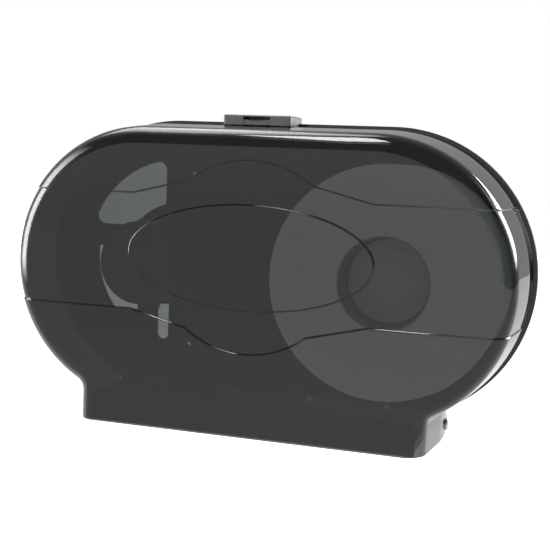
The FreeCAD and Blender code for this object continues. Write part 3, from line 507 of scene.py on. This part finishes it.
class Mesh:
    """Points and faces of one piece, given in millimetres: x right, depth forwards, z up."""

    def __init__(self) -> None:
        """Starts an empty mesh."""
        self.points: list[Point3] = []
        self.faces: list[tuple[int, ...]] = []

    def add(self, x: float, depth: float, z: float) -> int:
        """Adds a point and returns its number."""
        self.points.append((x * MM, -depth * MM, z * MM))
        return len(self.points) - 1

    def strip(self, first: list[int], second: list[int], closed: bool = False) -> None:
        """Joins two rows of points with quads.

        Args:
            first: one row's point numbers.
            second: the next row's, as many.
            closed: True where the rows are rings.
        """
        count = len(first) if closed else len(first) - 1
        for i in range(count):
            j = (i + 1) % len(first)
            self.faces.append((first[i], first[j], second[j], second[i]))

    def make(self, name: str) -> Object:
        """Makes the linked object, smooth shaded, its faces turned outwards.

        Args:
            name: the object's name.

        Returns:
            The object.
        """
        data = bpy.data.meshes.new(name)
        data.from_pydata(self.points, [], self.faces)
        data.validate()
        settle(data)
        return new_object(name, data)


def settle(data: bpy.types.Mesh, sharp_deg: float = 180.0) -> None:
    """Turns a closed mesh's faces outwards, shades it smooth and marks its sharp edges.

    Args:
        data: the mesh.
        sharp_deg: the least angle between two faces that stays a crisp edge.
    """
    work = bmesh.new()
    work.from_mesh(data)
    bmesh.ops.recalc_face_normals(work, faces=work.faces)
    least = math.radians(sharp_deg)
    for edge in work.edges:
        edge.smooth = not (len(edge.link_faces) == 2 and edge.calc_face_angle(0.0) >= least)
    for side in work.faces:
        side.smooth = True
    work.to_mesh(data)
    work.free()


class Carving(Enum):
    """What a tool does to a piece."""

    ADD = "UNION"
    CUT = "DIFFERENCE"


def cutter(name: str, work: bmesh.types.BMesh) -> Object:
    """Turns a finished bmesh into a linked object and frees it.

    Args:
        name: the tool's name.
        work: the bmesh.

    Returns:
        The tool.
    """
    data = bpy.data.meshes.new(name)
    work.to_mesh(data)
    work.free()
    return new_object(name, data)


def rod(start: Vector, end: Vector, radius: float) -> Object:
    """Makes a round cutting tool.

    Args:
        start: middle of one end, in metres.
        end: middle of the other end.
        radius: the tool's radius in metres.

    Returns:
        The tool.
    """
    work = bmesh.new()
    along = end - start
    turn = along.to_track_quat("Z", "Y").to_matrix().to_4x4()
    place = Matrix.Translation((start + end) / 2) @ turn
    bmesh.ops.create_cone(
        work,
        cap_ends=True,
        segments=ROD_SIDES,
        radius1=radius,
        radius2=radius,
        depth=along.length,
        matrix=place,
    )
    return cutter("rod", work)


def block(low: Vector, high: Vector) -> Object:
    """Makes a square cutting tool.

    Args:
        low: its lowest corner, in metres.
        high: its highest corner.

    Returns:
        The tool.
    """
    work = bmesh.new()
    place = Matrix.Translation((low + high) / 2) @ Matrix.Diagonal((*(high - low), 1.0))
    bmesh.ops.create_cube(work, size=1.0, matrix=place)
    return cutter("block", work)


def carve(piece: Object, tool: Object, carving: Carving) -> None:
    """Adds a tool to a piece or cuts it away, then removes the tool.

    Args:
        piece: the object that changes.
        tool: the object that is added or cut away.
        carving: which of the two.
    """
    step = piece.modifiers.new("carve", "BOOLEAN")
    step.operation = carving.value
    step.object = tool
    step.solver = "EXACT"
    view = bpy.context.evaluated_depsgraph_get()
    result = bpy.data.meshes.new_from_object(piece.evaluated_get(view))
    piece.modifiers.clear()
    old = piece.data
    piece.data = result
    bpy.data.meshes.remove(old)
    bpy.data.objects.remove(tool)


@dataclass
class SmokedCover:
    """The see-through shell: drafted walls, rounding with a crease at the face, band and oval.

    Lengths are in millimetres. Depths are measured from the wall, and offsets across a line.
    """

    # The silhouette: two round ends on a box, with a fillet between.
    half_width: float = 254.0
    end_radius: float = 141.0
    box_half_width: float = 179.0
    bottom: float = -155.0
    neck: float = 5.0
    # The section from the rear edge to the face.
    front: float = 114.0
    rear: float = 8.6
    wall: float = 3.0
    setback: float = 22.0
    draft: float = 7.0
    draft_start: float = 36.6
    crease_deg: float = 14.0
    rim_round: float = 0.45
    rim_nick: float = 0.13
    # Rows that ease into the draft: how far before it, and their share of its lean.
    ease_rows: tuple[Point2, ...] = ((8.0, 0.0), (1.0, 0.25))
    # The sunk band with its bulges on the face, and the oval field.
    band_step: float = 1.2
    band_border: float = 7.0
    band_middle: float = 15.8
    band_half: float = 56.0
    outer_kink: float = 117.0
    inner_kink: float = 60.0
    kink_half: float = 70.0
    bulge_half: float = 90.8
    oval_half_width: float = 120.5
    oval_half_height: float = 49.5
    oval_rise: float = 1.0
    edge_offsets: tuple[float, ...] = (1.4, 0.6, 0.36, 0.12, -0.12, -0.36, -0.6, -1.4)
    line_soft: float = 0.62
    # The hinge's knuckles.
    hinge_depth: float = 13.0
    hinge_z: float = -144.0
    knuckle: float = 11.0
    pin_hole: float = 3.05
    overrun: float = 4.0
    # Corners of the cuts in the top wall: how far right of the latch, and the depth.
    latch_slot: tuple[Point2, Point2] = ((-8.0, 24.5), (8.0, 29.5))
    lock_notch: tuple[Point2, Point2] = ((19.5, 4.0), (29.5, 26.0))
    latch_x: float = -20.0
    cut_under: float = 8.0
    cut_over: float = 5.0
    # How finely curves are divided.
    top_steps: int = 10
    arc_steps: tuple[int, int, int] = (30, 26, 24)
    neck_steps: int = 10
    side_steps: int = 5
    wall_steps: int = 6
    rounding_steps: int = 16
    bulge_steps: int = 18
    oval_sides: int = 120
    # What counts as sharp, flat or level where the shading and the lines are marked.
    sharp_deg: float = 62.0
    flat_within_deg: float = 2.0
    crease_over_deg: float = 8.0
    face_margin: float = 1.0
    level_within: float = 0.0004
    finish: Surface = SmokedPolycarbonate("smoked polycarbonate", "#959899", "#989b9c", "#e8eaea")
    mesh: Mesh = field(default_factory=Mesh)

    @property
    def end_x(self) -> float:
        """Middle of a round end."""
        return self.half_width - self.end_radius

    @property
    def neck_centre(self) -> Point2:
        """Middle of the fillet between a round end and the box."""
        x, reach = self.box_half_width + self.neck, self.end_radius + self.neck
        return x, -math.sqrt(reach**2 - (x - self.end_x) ** 2)

    @property
    def lines(self) -> Point2:
        """Heights of the band's lines where they are level."""
        return self.band_middle + self.band_half, self.band_middle - self.band_half

    def ring(self, inset: float) -> list[Outward]:
        """The outline from the left foot, over the top, to the right foot.

        Args:
            inset: how far inside the outermost outline, in millimetres.

        Returns:
            Pairs of a point and its outward direction.
        """
        radius = self.end_radius - inset
        rows: list[Outward] = []
        for i in range(self.top_steps):
            rows.append(((self.end_x * i / self.top_steps, radius), (0.0, 1.0)))
        neck_x, neck_z = self.neck_centre
        stops = [math.pi / 2]
        for level in self.lines:
            stops += [math.asin((level + off) / radius) for off in self.edge_offsets]
        stops.append(math.atan2(neck_z, neck_x - self.end_x))
        fine = [1] * (len(self.edge_offsets) - 1)
        above, beside, below = self.arc_steps
        spans = [above, *fine, beside, *fine, below]
        for start, stop, steps in zip(stops, stops[1:], spans):
            for i in range(steps):
                turn = start + (stop - start) * i / steps
                out = (math.cos(turn), math.sin(turn))
                rows.append(((self.end_x + radius * out[0], radius * out[1]), out))
        bend = self.neck + inset
        start = math.atan2(-neck_z, self.end_x - neck_x)
        for i in range(self.neck_steps):
            turn = start + (math.pi - start) * i / self.neck_steps
            out = (-math.cos(turn), -math.sin(turn))
            rows.append(((neck_x - bend * out[0], neck_z - bend * out[1]), out))
        for i in range(self.side_steps + 1):
            z = neck_z + (self.bottom - neck_z) * i / self.side_steps
            rows.append(((self.box_half_width - inset, z), (1.0, 0.0)))
        left = [((-p[0], p[1]), (-out[0], out[1])) for p, out in reversed(rows[1:])]
        return left + rows

    def soft_step(self, distance: float) -> float:
        """Smooth rise from 0 to 1 across a moulded line."""
        t = min(max((distance + self.line_soft) / (2 * self.line_soft), 0.0), 1.0)
        return t * t * (3 - 2 * t)

    def sunk(self, depth: float, z: float) -> float:
        """How deep the band's floor lies at a place on the walls and the rounding.

        Args:
            depth: the place's distance from the wall, in millimetres.
            z: its height.

        Returns:
            From 0 outside the band to its whole step.
        """
        high, low = self.lines
        beside = self.soft_step(min(high - z, z - low))
        return self.band_step * beside * self.soft_step(depth - self.rear - self.band_border)

    def profile(self, inner: bool) -> list[Row]:
        """Rows of one skin from its rear edge to the face's crease.

        Args:
            inner: True for the inside skin, one wall further in.

        Returns:
            Inset and depth of each row in millimetres, and its lean in radians.
        """
        run = self.front - self.draft_start
        lean = math.atan(self.draft / run)
        last = math.radians(90 - self.crease_deg)
        slope = math.tan(lean)
        free = self.setback - slope * run
        across, ahead = math.cos(lean) - math.cos(last), math.sin(last) - math.sin(lean)
        radius = free / (across - slope * ahead)
        middle_inset = self.setback + radius * math.cos(last)
        middle_depth = self.front - radius * math.sin(last)
        skin = self.wall if inner else 0.0
        edge = -1.0 if inner else 1.0
        rows: list[Row] = [
            (skin + edge * self.rim_round, self.rear, 0.0),
            (skin + edge * self.rim_nick, self.rear + self.rim_nick, 0.0),
            (skin, self.rear + self.rim_round, 0.0),
        ]
        line = self.rear + self.band_border
        rows += [(skin, line - off, 0.0) for off in self.edge_offsets]
        for before, share in self.ease_rows:
            rows.append((skin, self.draft_start - before, lean * share))
        bend = radius - skin
        start = middle_depth + bend * math.sin(lean)
        level = middle_inset - bend * math.cos(lean)
        for i in range(1, self.wall_steps):
            depth = self.draft_start + (start - self.draft_start) * i / self.wall_steps
            rows.append((level - slope * (start - depth), depth, lean))
        for i in range(self.rounding_steps + 1):
            tilt = lean + (last - lean) * i / self.rounding_steps
            inset = middle_inset - bend * math.cos(tilt)
            rows.append((inset, middle_depth + bend * math.sin(tilt), tilt))
        return rows

    def skin(self, inner: bool) -> list[list[int]]:
        """Lays the rows of one skin and joins them.

        Args:
            inner: True for the inside skin, which has no band.

        Returns:
            The rows' point numbers, rear to front.
        """
        rows: list[list[int]] = []
        for inset, depth, tilt in self.profile(inner):
            row: list[int] = []
            for (x, z), out in self.ring(inset):
                sunk = 0.0 if inner else self.sunk(depth, z)
                side, ahead = sunk * math.cos(tilt), sunk * math.sin(tilt)
                row.append(self.mesh.add(x - side * out[0], depth - ahead, z - side * out[1]))
            rows.append(row)
        for first, second in zip(rows, rows[1:]):
            self.mesh.strip(first, second)
        return rows

    def contour(self, upward: int, offset: float) -> list[Point2]:
        """The band's upper or lower line on the face.

        Args:
            upward: 1 for the upper line, -1 for the lower.
            offset: how far outside the line, in millimetres.

        Returns:
            Points from left to right.
        """
        rise = self.bulge_half - self.kink_half
        radius = (self.inner_kink**2 + rise**2) / (2 * rise)
        slope = math.atan2(self.kink_half - self.band_half, self.outer_kink - self.inner_kink)
        tangent = math.asin(self.inner_kink / radius)
        centre = self.bulge_half - radius
        right: list[Point2] = []
        for i in range(self.bulge_steps):
            turn = tangent * i / self.bulge_steps
            reach = radius + offset
            right.append((reach * math.sin(turn), centre + reach * math.cos(turn)))
        corners = (
            (self.inner_kink, self.kink_half, (tangent + slope) / 2, (tangent - slope) / 2),
            (self.outer_kink, self.band_half, slope / 2, slope / 2),
        )
        for x, z, middle, half in corners:
            reach = offset / math.cos(half)
            right.append((x + reach * math.sin(middle), z + reach * math.cos(middle)))
        points = [(-x, z) for x, z in reversed(right[1:])] + right
        return [(x, self.band_middle + upward * z) for x, z in points]

    def face(self, edge_row: list[int]) -> None:
        """Fills the flat front inside the crease, with the band's lines and the oval field.

        Args:
            edge_row: the point numbers of the crease, left foot to right foot.
        """
        outline = [p for p, _ in self.ring(self.setback)]
        flat: list[Point2] = list(outline)
        floor = self.front - self.band_step
        depth: list[float] = [floor] * len(outline)
        edges = [(i, i + 1) for i in range(len(outline) - 1)] + [(len(outline) - 1, 0)]
        for upward, level in zip((1, -1), self.lines):
            for offset in self.edge_offsets:
                height = level + offset
                ends = [i for i, p in enumerate(outline) if abs(p[1] - height) < SAME_WITHIN]
                first = len(flat)
                points = self.contour(upward, offset * upward)
                flat += points
                raised = self.front - self.band_step * self.soft_step(-offset * upward)
                depth += [raised] * len(points)
                chain = [ends[0], *range(first, first + len(points)), ends[-1]]
                edges += list(zip(chain, chain[1:]))
        for offset in self.edge_offsets:
            first = len(flat)
            for i in range(self.oval_sides):
                turn = math.tau * i / self.oval_sides
                x = (self.oval_half_width + offset) * math.cos(turn)
                z = self.band_middle + (self.oval_half_height + offset) * math.sin(turn)
                flat.append((x, z))
                depth.append(floor + self.oval_rise * self.soft_step(-offset))
            loop = list(range(first, first + self.oval_sides))
            edges += list(zip(loop, loop[1:] + loop[:1]))
        self.fill(flat, edges, edge_row, depth)

    def fill(
        self,
        flat: list[Point2],
        edges: list[tuple[int, int]],
        edge_row: list[int],
        depth: list[float],
    ) -> None:
        """Fills an outline and the lines inside it with triangles.

        Args:
            flat: points of the outline, then of the lines.
            edges: pairs of their numbers.
            edge_row: the mesh's point numbers of the outline.
            depth: how far forward each point lies, in millimetres.
        """
        places, _, faces, sources, _, _ = delaunay_2d_cdt(
            [Vector(p) for p in flat], edges, [], INSIDE_ONLY, JOIN_WITHIN
        )
        numbers: list[int] = []
        for place, source in zip(places, sources):
            if source and source[0] < len(edge_row):
                numbers.append(edge_row[source[0]])
            else:
                # A new crossing of two lines lies on the band's floor, as the outline does.
                ahead = depth[source[0] if source else 0]
                numbers.append(self.mesh.add(place[0], ahead, place[1]))
        self.mesh.faces += [tuple(numbers[i] for i in corners) for corners in faces]

    def build(self) -> None:
        """Makes the shell with its hinge knuckles, slots and holes, and gives it its finish."""
        outside = self.skin(False)
        inside = self.skin(True)
        self.face(outside[-1])
        outline = [p for p, _ in self.ring(self.profile(True)[-1][0])]
        loop = list(range(len(outline)))
        # The plain inner face has no points of its own to lift.
        self.fill(outline, list(zip(loop, loop[1:] + loop[:1])), inside[-1], [])
        self.mesh.strip(outside[0], inside[0])
        for end in (0, -1):
            self.mesh.strip([row[end] for row in outside], [row[end] for row in inside])
        self.mesh.faces.append((outside[-1][0], outside[-1][-1], inside[-1][-1], inside[-1][0]))
        cover = self.mesh.make("smoked_cover")
        self.hinge_ends(cover)
        self.top_cuts(cover)
        settle(cover.data, self.sharp_deg)
        self.mark_crease(cover.data)
        self.mark_lines(cover.data)
        cover.data.materials.clear()
        cover.data.materials.append(self.finish.build())
        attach(cover, "cover")
        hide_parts("cover_shell")
        log.info("smoked_cover: %d faces", len(cover.data.polygons))

    def mark_crease(self, data: bpy.types.Mesh) -> None:
        """Keeps the shading crisp where the rounding meets the flat face.

        Args:
            data: the cover's mesh.
        """
        work = bmesh.new()
        work.from_mesh(data)
        work.normal_update()
        flat = math.cos(math.radians(self.flat_within_deg))
        steep = math.cos(math.radians(self.crease_deg + self.crease_over_deg))
        shallow = math.cos(math.radians(self.crease_deg - self.flat_within_deg))
        for edge in work.edges:
            if len(edge.link_faces) == 2:
                least, most = sorted(abs(side.normal.y) for side in edge.link_faces)
                if most > flat and steep < least < shallow:
                    edge.smooth = False
        work.to_mesh(data)
        work.free()

    def mark_lines(self, data: bpy.types.Mesh) -> None:
        """Marks the points on the slopes of the face's moulded lines, where the finish paints
        shade.

        Args:
            data: the cover's mesh. Its points between the face's flat levels get a 1.
        """
        floor = self.front - self.band_step
        levels = (floor, floor + self.oval_rise, self.front)
        reach = self.end_radius - self.setback - self.face_margin
        line = data.attributes.new(LINE_MARK, "FLOAT", "POINT")
        for point, level in zip(data.vertices, line.data):
            x, depth, z = abs(point.co.x) / MM, -point.co.y / MM, point.co.z / MM
            inside = depth > floor and math.hypot(max(x - self.end_x, 0.0), z) < reach
            sloping = all(abs(depth - flat) > self.level_within for flat in levels)
            level.value = float(inside and sloping)

    def hinge_ends(self, cover: Object) -> None:
        """Adds the round hinge knuckles, bores them and trims the corner below them.

        Args:
            cover: the shell.
        """
        y = -self.hinge_depth * MM
        z = self.hinge_z * MM
        overrun = self.overrun * MM
        for side in (-1, 1):
            outer = side * self.box_half_width * MM
            inner = side * (self.box_half_width - self.wall) * MM
            out = Vector((outer + side * overrun, y, z))
            back = Vector((inner - side * overrun, y, z))
            low = Vector((min(back.x, out.x), y, self.bottom * MM - overrun))
            high = Vector((max(back.x, out.x), overrun, z))
            carve(cover, block(low, high), Carving.CUT)
            ear = rod(Vector((inner, y, z)), Vector((outer, y, z)), self.knuckle * MM)
            carve(cover, ear, Carving.ADD)
            carve(cover, rod(back, out, self.pin_hole * MM), Carving.CUT)

    def top_cuts(self, cover: Object) -> None:
        """Cuts the latch's slot and the lock's notch through the top wall.

        Args:
            cover: the shell.
        """
        floor = (self.end_radius - self.cut_under) * MM
        roof = (self.end_radius + self.cut_over) * MM
        for (x0, depth0), (x1, depth1) in (self.latch_slot, self.lock_notch):
            low = Vector(((self.latch_x + x0) * MM, -depth1 * MM, floor))
            high = Vector(((self.latch_x + x1) * MM, -depth0 * MM, roof))
            carve(cover, block(low, high), Carving.CUT)


@dataclass
class PaperRoll:
    """The roll in use: closely wound tissue with softened corners and a loose end.

    Lengths are in millimetres. The paper is a touch rosy, which the shell's cool tint takes
    back to a plain grey.
    """

    sides: int = 224
    end_rings: int = 34
    corner: float = 1.6
    corner_steps: int = 5
    side_steps: int = 10
    turn_step: float = 0.45
    unevenness: float = 0.16
    front_waves: Point2 = (9.7, 3.1)
    back_waves: Point2 = (7.3, 4.3)
    loose_end_deg: float = -62.0
    sharp_deg: float = 50.0
    colour: str = "#f4f0f4"
    shade: str = "#e1dde1"

    def build(self) -> None:
        """Makes the roll in its node's place."""
        low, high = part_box("paper_roll")
        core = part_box("roll_core")
        centre_x = (low.x + high.x) / 2 / MM
        radius = (high.x - low.x) / 2 / MM
        bore = (core[1].x - core[0].x) / 2 / MM
        mesh = Mesh()
        rows: list[list[int]] = []
        for reach, depth, step in self.profile(bore, radius, -high.y / MM, -low.y / MM):
            row: list[int] = []
            for i in range(self.sides):
                share = i / self.sides
                turn = math.tau * share + math.radians(self.loose_end_deg)
                here = reach - self.turn_step * share * step
                x, z = centre_x + here * math.cos(turn), here * math.sin(turn)
                row.append(mesh.add(x, depth, z))
            rows.append(row)
        for first, second in zip(rows, rows[1:] + rows[:1]):
            mesh.strip(first, second, closed=True)
        roll = mesh.make("tissue_roll")
        settle(roll.data, self.sharp_deg)
        axis = (centre_x * MM, 0.0, 0.0)
        finish = TissuePaper("two-ply embossed tissue", self.colour, self.shade, axis)
        roll.data.materials.append(finish.build())
        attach(roll, "right_hub")
        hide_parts("paper_roll")
        log.info("tissue_roll: %d faces", len(roll.data.polygons))

    def set_back(self, turn: int, waves: Point2) -> float:
        """How far a turn of the paper stands back, by two waves that don't repeat together."""
        quick, slow = waves
        return self.unevenness * (0.5 + 0.5 * math.sin(quick * turn) * math.cos(slow * turn))

    def profile(self, bore: float, radius: float, back: float, front: float) -> list[Row]:
        """Section of the roll, from the bore's front edge round to its back edge.

        Args:
            bore: inner radius.
            radius: outer radius.
            back: depth of the end nearest the wall.
            front: depth of the end nearest the face.

        Returns:
            Radius, depth and how far each row takes part in the loose end's step.
        """
        edge = radius - self.corner
        front_end: list[Row] = []
        back_end: list[Row] = []
        for i in range(self.end_rings + 1):
            reach = bore + (edge - bore) * i / self.end_rings
            front_end.append((reach, front - self.set_back(i, self.front_waves), 0.0))
            back_end.append((reach, back + self.set_back(i, self.back_waves), 0.0))
        for i in range(1, self.corner_steps + 1):
            turn = math.pi / 2 * i / self.corner_steps
            reach, fall = edge + self.corner * math.sin(turn), self.corner * (1 - math.cos(turn))
            front_end.append((reach, front - fall, math.sin(turn)))
            back_end.append((reach, back + fall, math.sin(turn)))
        first, last = front - self.corner, back + self.corner
        outside: list[Row] = []
        for i in range(1, self.side_steps):
            outside.append((radius, first + (last - first) * i / self.side_steps, 1.0))
        return front_end + outside + back_end[::-1]


@dataclass
class CarriedPieces:
    """The CAD pieces that keep their own shape and get their finishes."""

    finishes: dict[Finish, tuple[str, ...]] = field(default_factory=lambda: FINISHED_NODES)

    def dress(self) -> None:
        """Makes each finish once and gives it to its nodes."""
        for finish, names in self.finishes.items():
            material = finish.value.build()
            for name in names:
                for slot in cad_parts[name].material_slots:
                    slot.material = material
                log.info("%s: %s", name, finish.value.name)


@dataclass
class PhotoCamera:
    """Camera at the photograph's place, for a square picture."""

    place: Point3 = (0.3155, -1.0333, 0.1051)
    right: Point3 = (0.9526, 0.3017, 0.0399)
    up: Point3 = (-0.0699, 0.0892, 0.9936)
    ahead: Point3 = (-0.2962, 0.9492, -0.1061)
    sensor_mm: float = 36.0
    focal_px: float = 1050.0
    picture_px: float = 550.0

    def build(self) -> None:
        """Makes the camera and sets it as the scene's."""
        data = bpy.data.cameras.new("photo_camera")
        data.sensor_fit = "HORIZONTAL"
        data.sensor_width = self.sensor_mm
        data.lens = self.sensor_mm * self.focal_px / self.picture_px
        camera = new_object("photo_camera", data)
        turn = Matrix((self.right, self.up, -Vector(self.ahead))).transposed().to_4x4()
        camera.matrix_world = Matrix.Translation(Vector(self.place)) @ turn
        bpy.context.scene.camera = camera


class LampUse(Enum):
    """What one of a soft box's two lamps is for."""

    MIRRORED = "mirrored"
    LIGHTING = "lighting"


@dataclass(frozen=True)
class SoftBox:
    """A soft box. Its face fades towards the edges as far as its diffuser spreads the lamp.

    Place is the middle of the face and size its width and height, in metres. Fade is the share
    of the face that each edge takes to reach full brightness: left, right, foot and top. Gloss
    mirrors the face at its brightness, and matt surfaces take only a share of it, so that
    white tissue keeps its shade.
    """

    name: str
    place: Point3
    size: Point2
    brightness: float
    fade: tuple[float, float, float, float]
    matt_share: float = 0.35

    def build(self, target: Vector) -> None:
        """Hangs the lamp that gloss shows and the one that lights matt surfaces."""
        self.lamp(target, LampUse.MIRRORED, 1.0).visible_diffuse = False
        self.lamp(target, LampUse.LIGHTING, self.matt_share).visible_glossy = False

    def lamp(self, target: Vector, use: LampUse, share: float) -> Object:
        """Makes one lamp that faces the target.

        Args:
            target: the point that the face turns to.
            use: what it is for, which ends its name.
            share: how much of the brightness it has.

        Returns:
            The lamp, hidden from the camera.
        """
        name = f"{self.name}_{use.value}"
        data = bpy.data.lights.new(name, "AREA")
        data.shape = "RECTANGLE"
        data.size, data.size_y = self.size
        data.energy = share * self.brightness * self.size[0] * self.size[1] * math.pi
        tree = clear_nodes(data)
        across, upward, _ = add_node(
            tree, "SeparateXYZ", {0: add_node(tree, "NewGeometry").outputs["Parametric"]}
        ).outputs
        level: Value = 1.0
        edges = ((across, 0.0, 1.0), (across, 1.0, -1.0), (upward, 0.0, 1.0), (upward, 1.0, -1.0))
        for (along, edge, inwards), fade in zip(edges, self.fade):
            rise = add_node(
                tree,
                "MapRange",
                {"Value": along, "From Min": edge, "From Max": edge + inwards * fade},
                interpolation_type="SMOOTHSTEP",
            )
            level = add_node(tree, "Math", {0: level, 1: rise}, operation="MULTIPLY")
        face = add_node(tree, "Emission", {"Color": "#ffffff", "Strength": level})
        add_node(tree, "OutputLight", {"Surface": face})
        lamp = new_object(name, data)
        place = Vector(self.place)
        turn = (target - place).to_track_quat("-Z", "Y").to_matrix().to_4x4()
        lamp.matrix_world = Matrix.Translation(place) @ turn
        lamp.visible_camera = False
        lamp.visible_transmission = False
        return lamp


@dataclass
class Studio:
    """White surroundings with dark flags beside and above, soft boxes and a pale floor.

    A flag lets its share of the world's light through, and fades in over its span of
    directions.
    """

    floor_z: float = -0.42
    floor_half: float = 6.0
    front_level: float = 1.0
    horizon_share: float = 0.86
    horizon_span: Point2 = (-0.08, 0.03)
    top_share: float = 0.35
    top_span: Point2 = (0.08, 0.40)
    side_share: float = 0.05
    side_span: Point2 = (0.55, 0.90)
    back_level: float = 0.42
    back_span: Point2 = (0.00, 0.40)
    fill_level: float = 0.92
    floor_glow: float = 0.64
    mirrored_glow: float = 0.12
    target: Point3 = (0.0, -0.06, 0.0)
    boxes: tuple[SoftBox, ...] = (
        SoftBox("left_box", (-1.44, -0.23, 0.37), (1.02, 1.46), 14.0, (0.57, 0.07, 0.18, 0.42)),
        SoftBox("top_box", (-0.18, -0.165, 1.25), (0.46, 0.33), 17.0, (0.12, 0.12, 0.12, 0.12)),
        SoftBox("back_box", (-0.54, 0.42, 1.15), (1.10, 0.95), 6.0, (0.3, 0.3, 0.3, 0.3)),
        SoftBox("right_box", (0.93, 0.93, 0.40), (0.88, 0.76), 14.0, (0.06, 0.10, 0.22, 0.06)),
    )

    def build(self) -> None:
        """Makes the world, the lamps and the floor."""
        self.world()
        for box in self.boxes:
            box.build(Vector(self.target))
        self.floor()
        bpy.context.scene.view_settings.view_transform = "Standard"

    def world(self) -> None:
        """Makes a white world that gloss shows as a studio with dark flags."""
        world = bpy.data.worlds.new("studio")
        bpy.context.scene.world = world
        tree = clear_nodes(world)
        place = add_node(tree, "TexCoord").outputs["Generated"]
        x, y, z = add_node(tree, "SeparateXYZ", {0: place}).outputs
        fades = (
            (z, *self.horizon_span, self.horizon_share, 1.0),
            (z, *self.top_span, 1.0, self.top_share),
            (x, *self.side_span, 1.0, self.side_share),
            (y, *self.back_span, 0.0, 1.0),
        )
        sockets = ("Value", "From Min", "From Max", "To Min", "To Max")
        foot, top, side, back = (
            add_node(tree, "MapRange", dict(zip(sockets, fade)), interpolation_type="SMOOTHSTEP")
            for fade in fades
        )
        front: Value = self.front_level
        for flag in (foot, top, side):
            front = add_node(tree, "Math", {0: front, 1: flag}, operation="MULTIPLY")
        mirrored = add_node(tree, "Mix", {SHARE: back, LEVEL_A: front, LEVEL_B: self.back_level})
        path = add_node(tree, "LightPath").outputs
        fill = add_node(tree, "Math", {0: side, 1: self.fill_level}, operation="MULTIPLY")
        level = add_node(
            tree, "Mix", {SHARE: path["Is Glossy Ray"], LEVEL_A: fill, LEVEL_B: mirrored}
        )
        seen = add_node(
            tree,
            "Math",
            {0: path["Is Camera Ray"], 1: path["Is Transmission Ray"]},
            operation="MAXIMUM",
        )
        strength = add_node(tree, "Mix", {SHARE: seen, LEVEL_A: level, LEVEL_B: 1.0})
        backdrop = add_node(tree, "Background", {"Color": "#ffffff", "Strength": strength})
        add_node(tree, "OutputWorld", {"Surface": backdrop})

    def floor(self) -> None:
        """Lays the pale floor, well below the dispenser as under a wall-hung object."""
        half = self.floor_half
        data = bpy.data.meshes.new("studio_floor")
        corners = [(-half, -half), (half, -half), (half, half), (-half, half)]
        data.from_pydata([(x, y, self.floor_z) for x, y in corners], [], [(0, 1, 2, 3)])
        floor = new_object("studio_floor", data)
        material = bpy.data.materials.new("pale studio floor")
        tree = clear_nodes(material)
        path = add_node(tree, "LightPath").outputs
        mirrored = add_node(
            tree,
            "Math",
            {0: path["Is Glossy Ray"], 1: path["Is Transmission Ray"]},
            operation="MAXIMUM",
        )
        low = add_node(tree, "Math", {0: mirrored, 1: self.mirrored_glow}, operation="MULTIPLY")
        strength = add_node(
            tree,
            "Math",
            {0: path["Is Camera Ray"], 1: self.floor_glow, 2: low},
            operation="MULTIPLY_ADD",
        )
        matt = add_node(tree, "BsdfDiffuse", {"Color": "#f4f4f4"})
        glow = add_node(tree, "Emission", {"Strength": strength})
        surface = add_node(tree, "AddShader", {0: matt, 1: glow})
        add_node(tree, "OutputMaterial", {"Surface": surface})
        data.materials.append(material)


def main() -> None:
    """Builds the camera, the pieces and the studio in order."""
    logging.basicConfig(level=logging.INFO, format="%(message)s")
    PhotoCamera().build()
    CarriedPieces().dress()
    SmokedCover().build()
    PaperRoll().build()
    Studio().build()


if __name__ == "__main__":
    main()
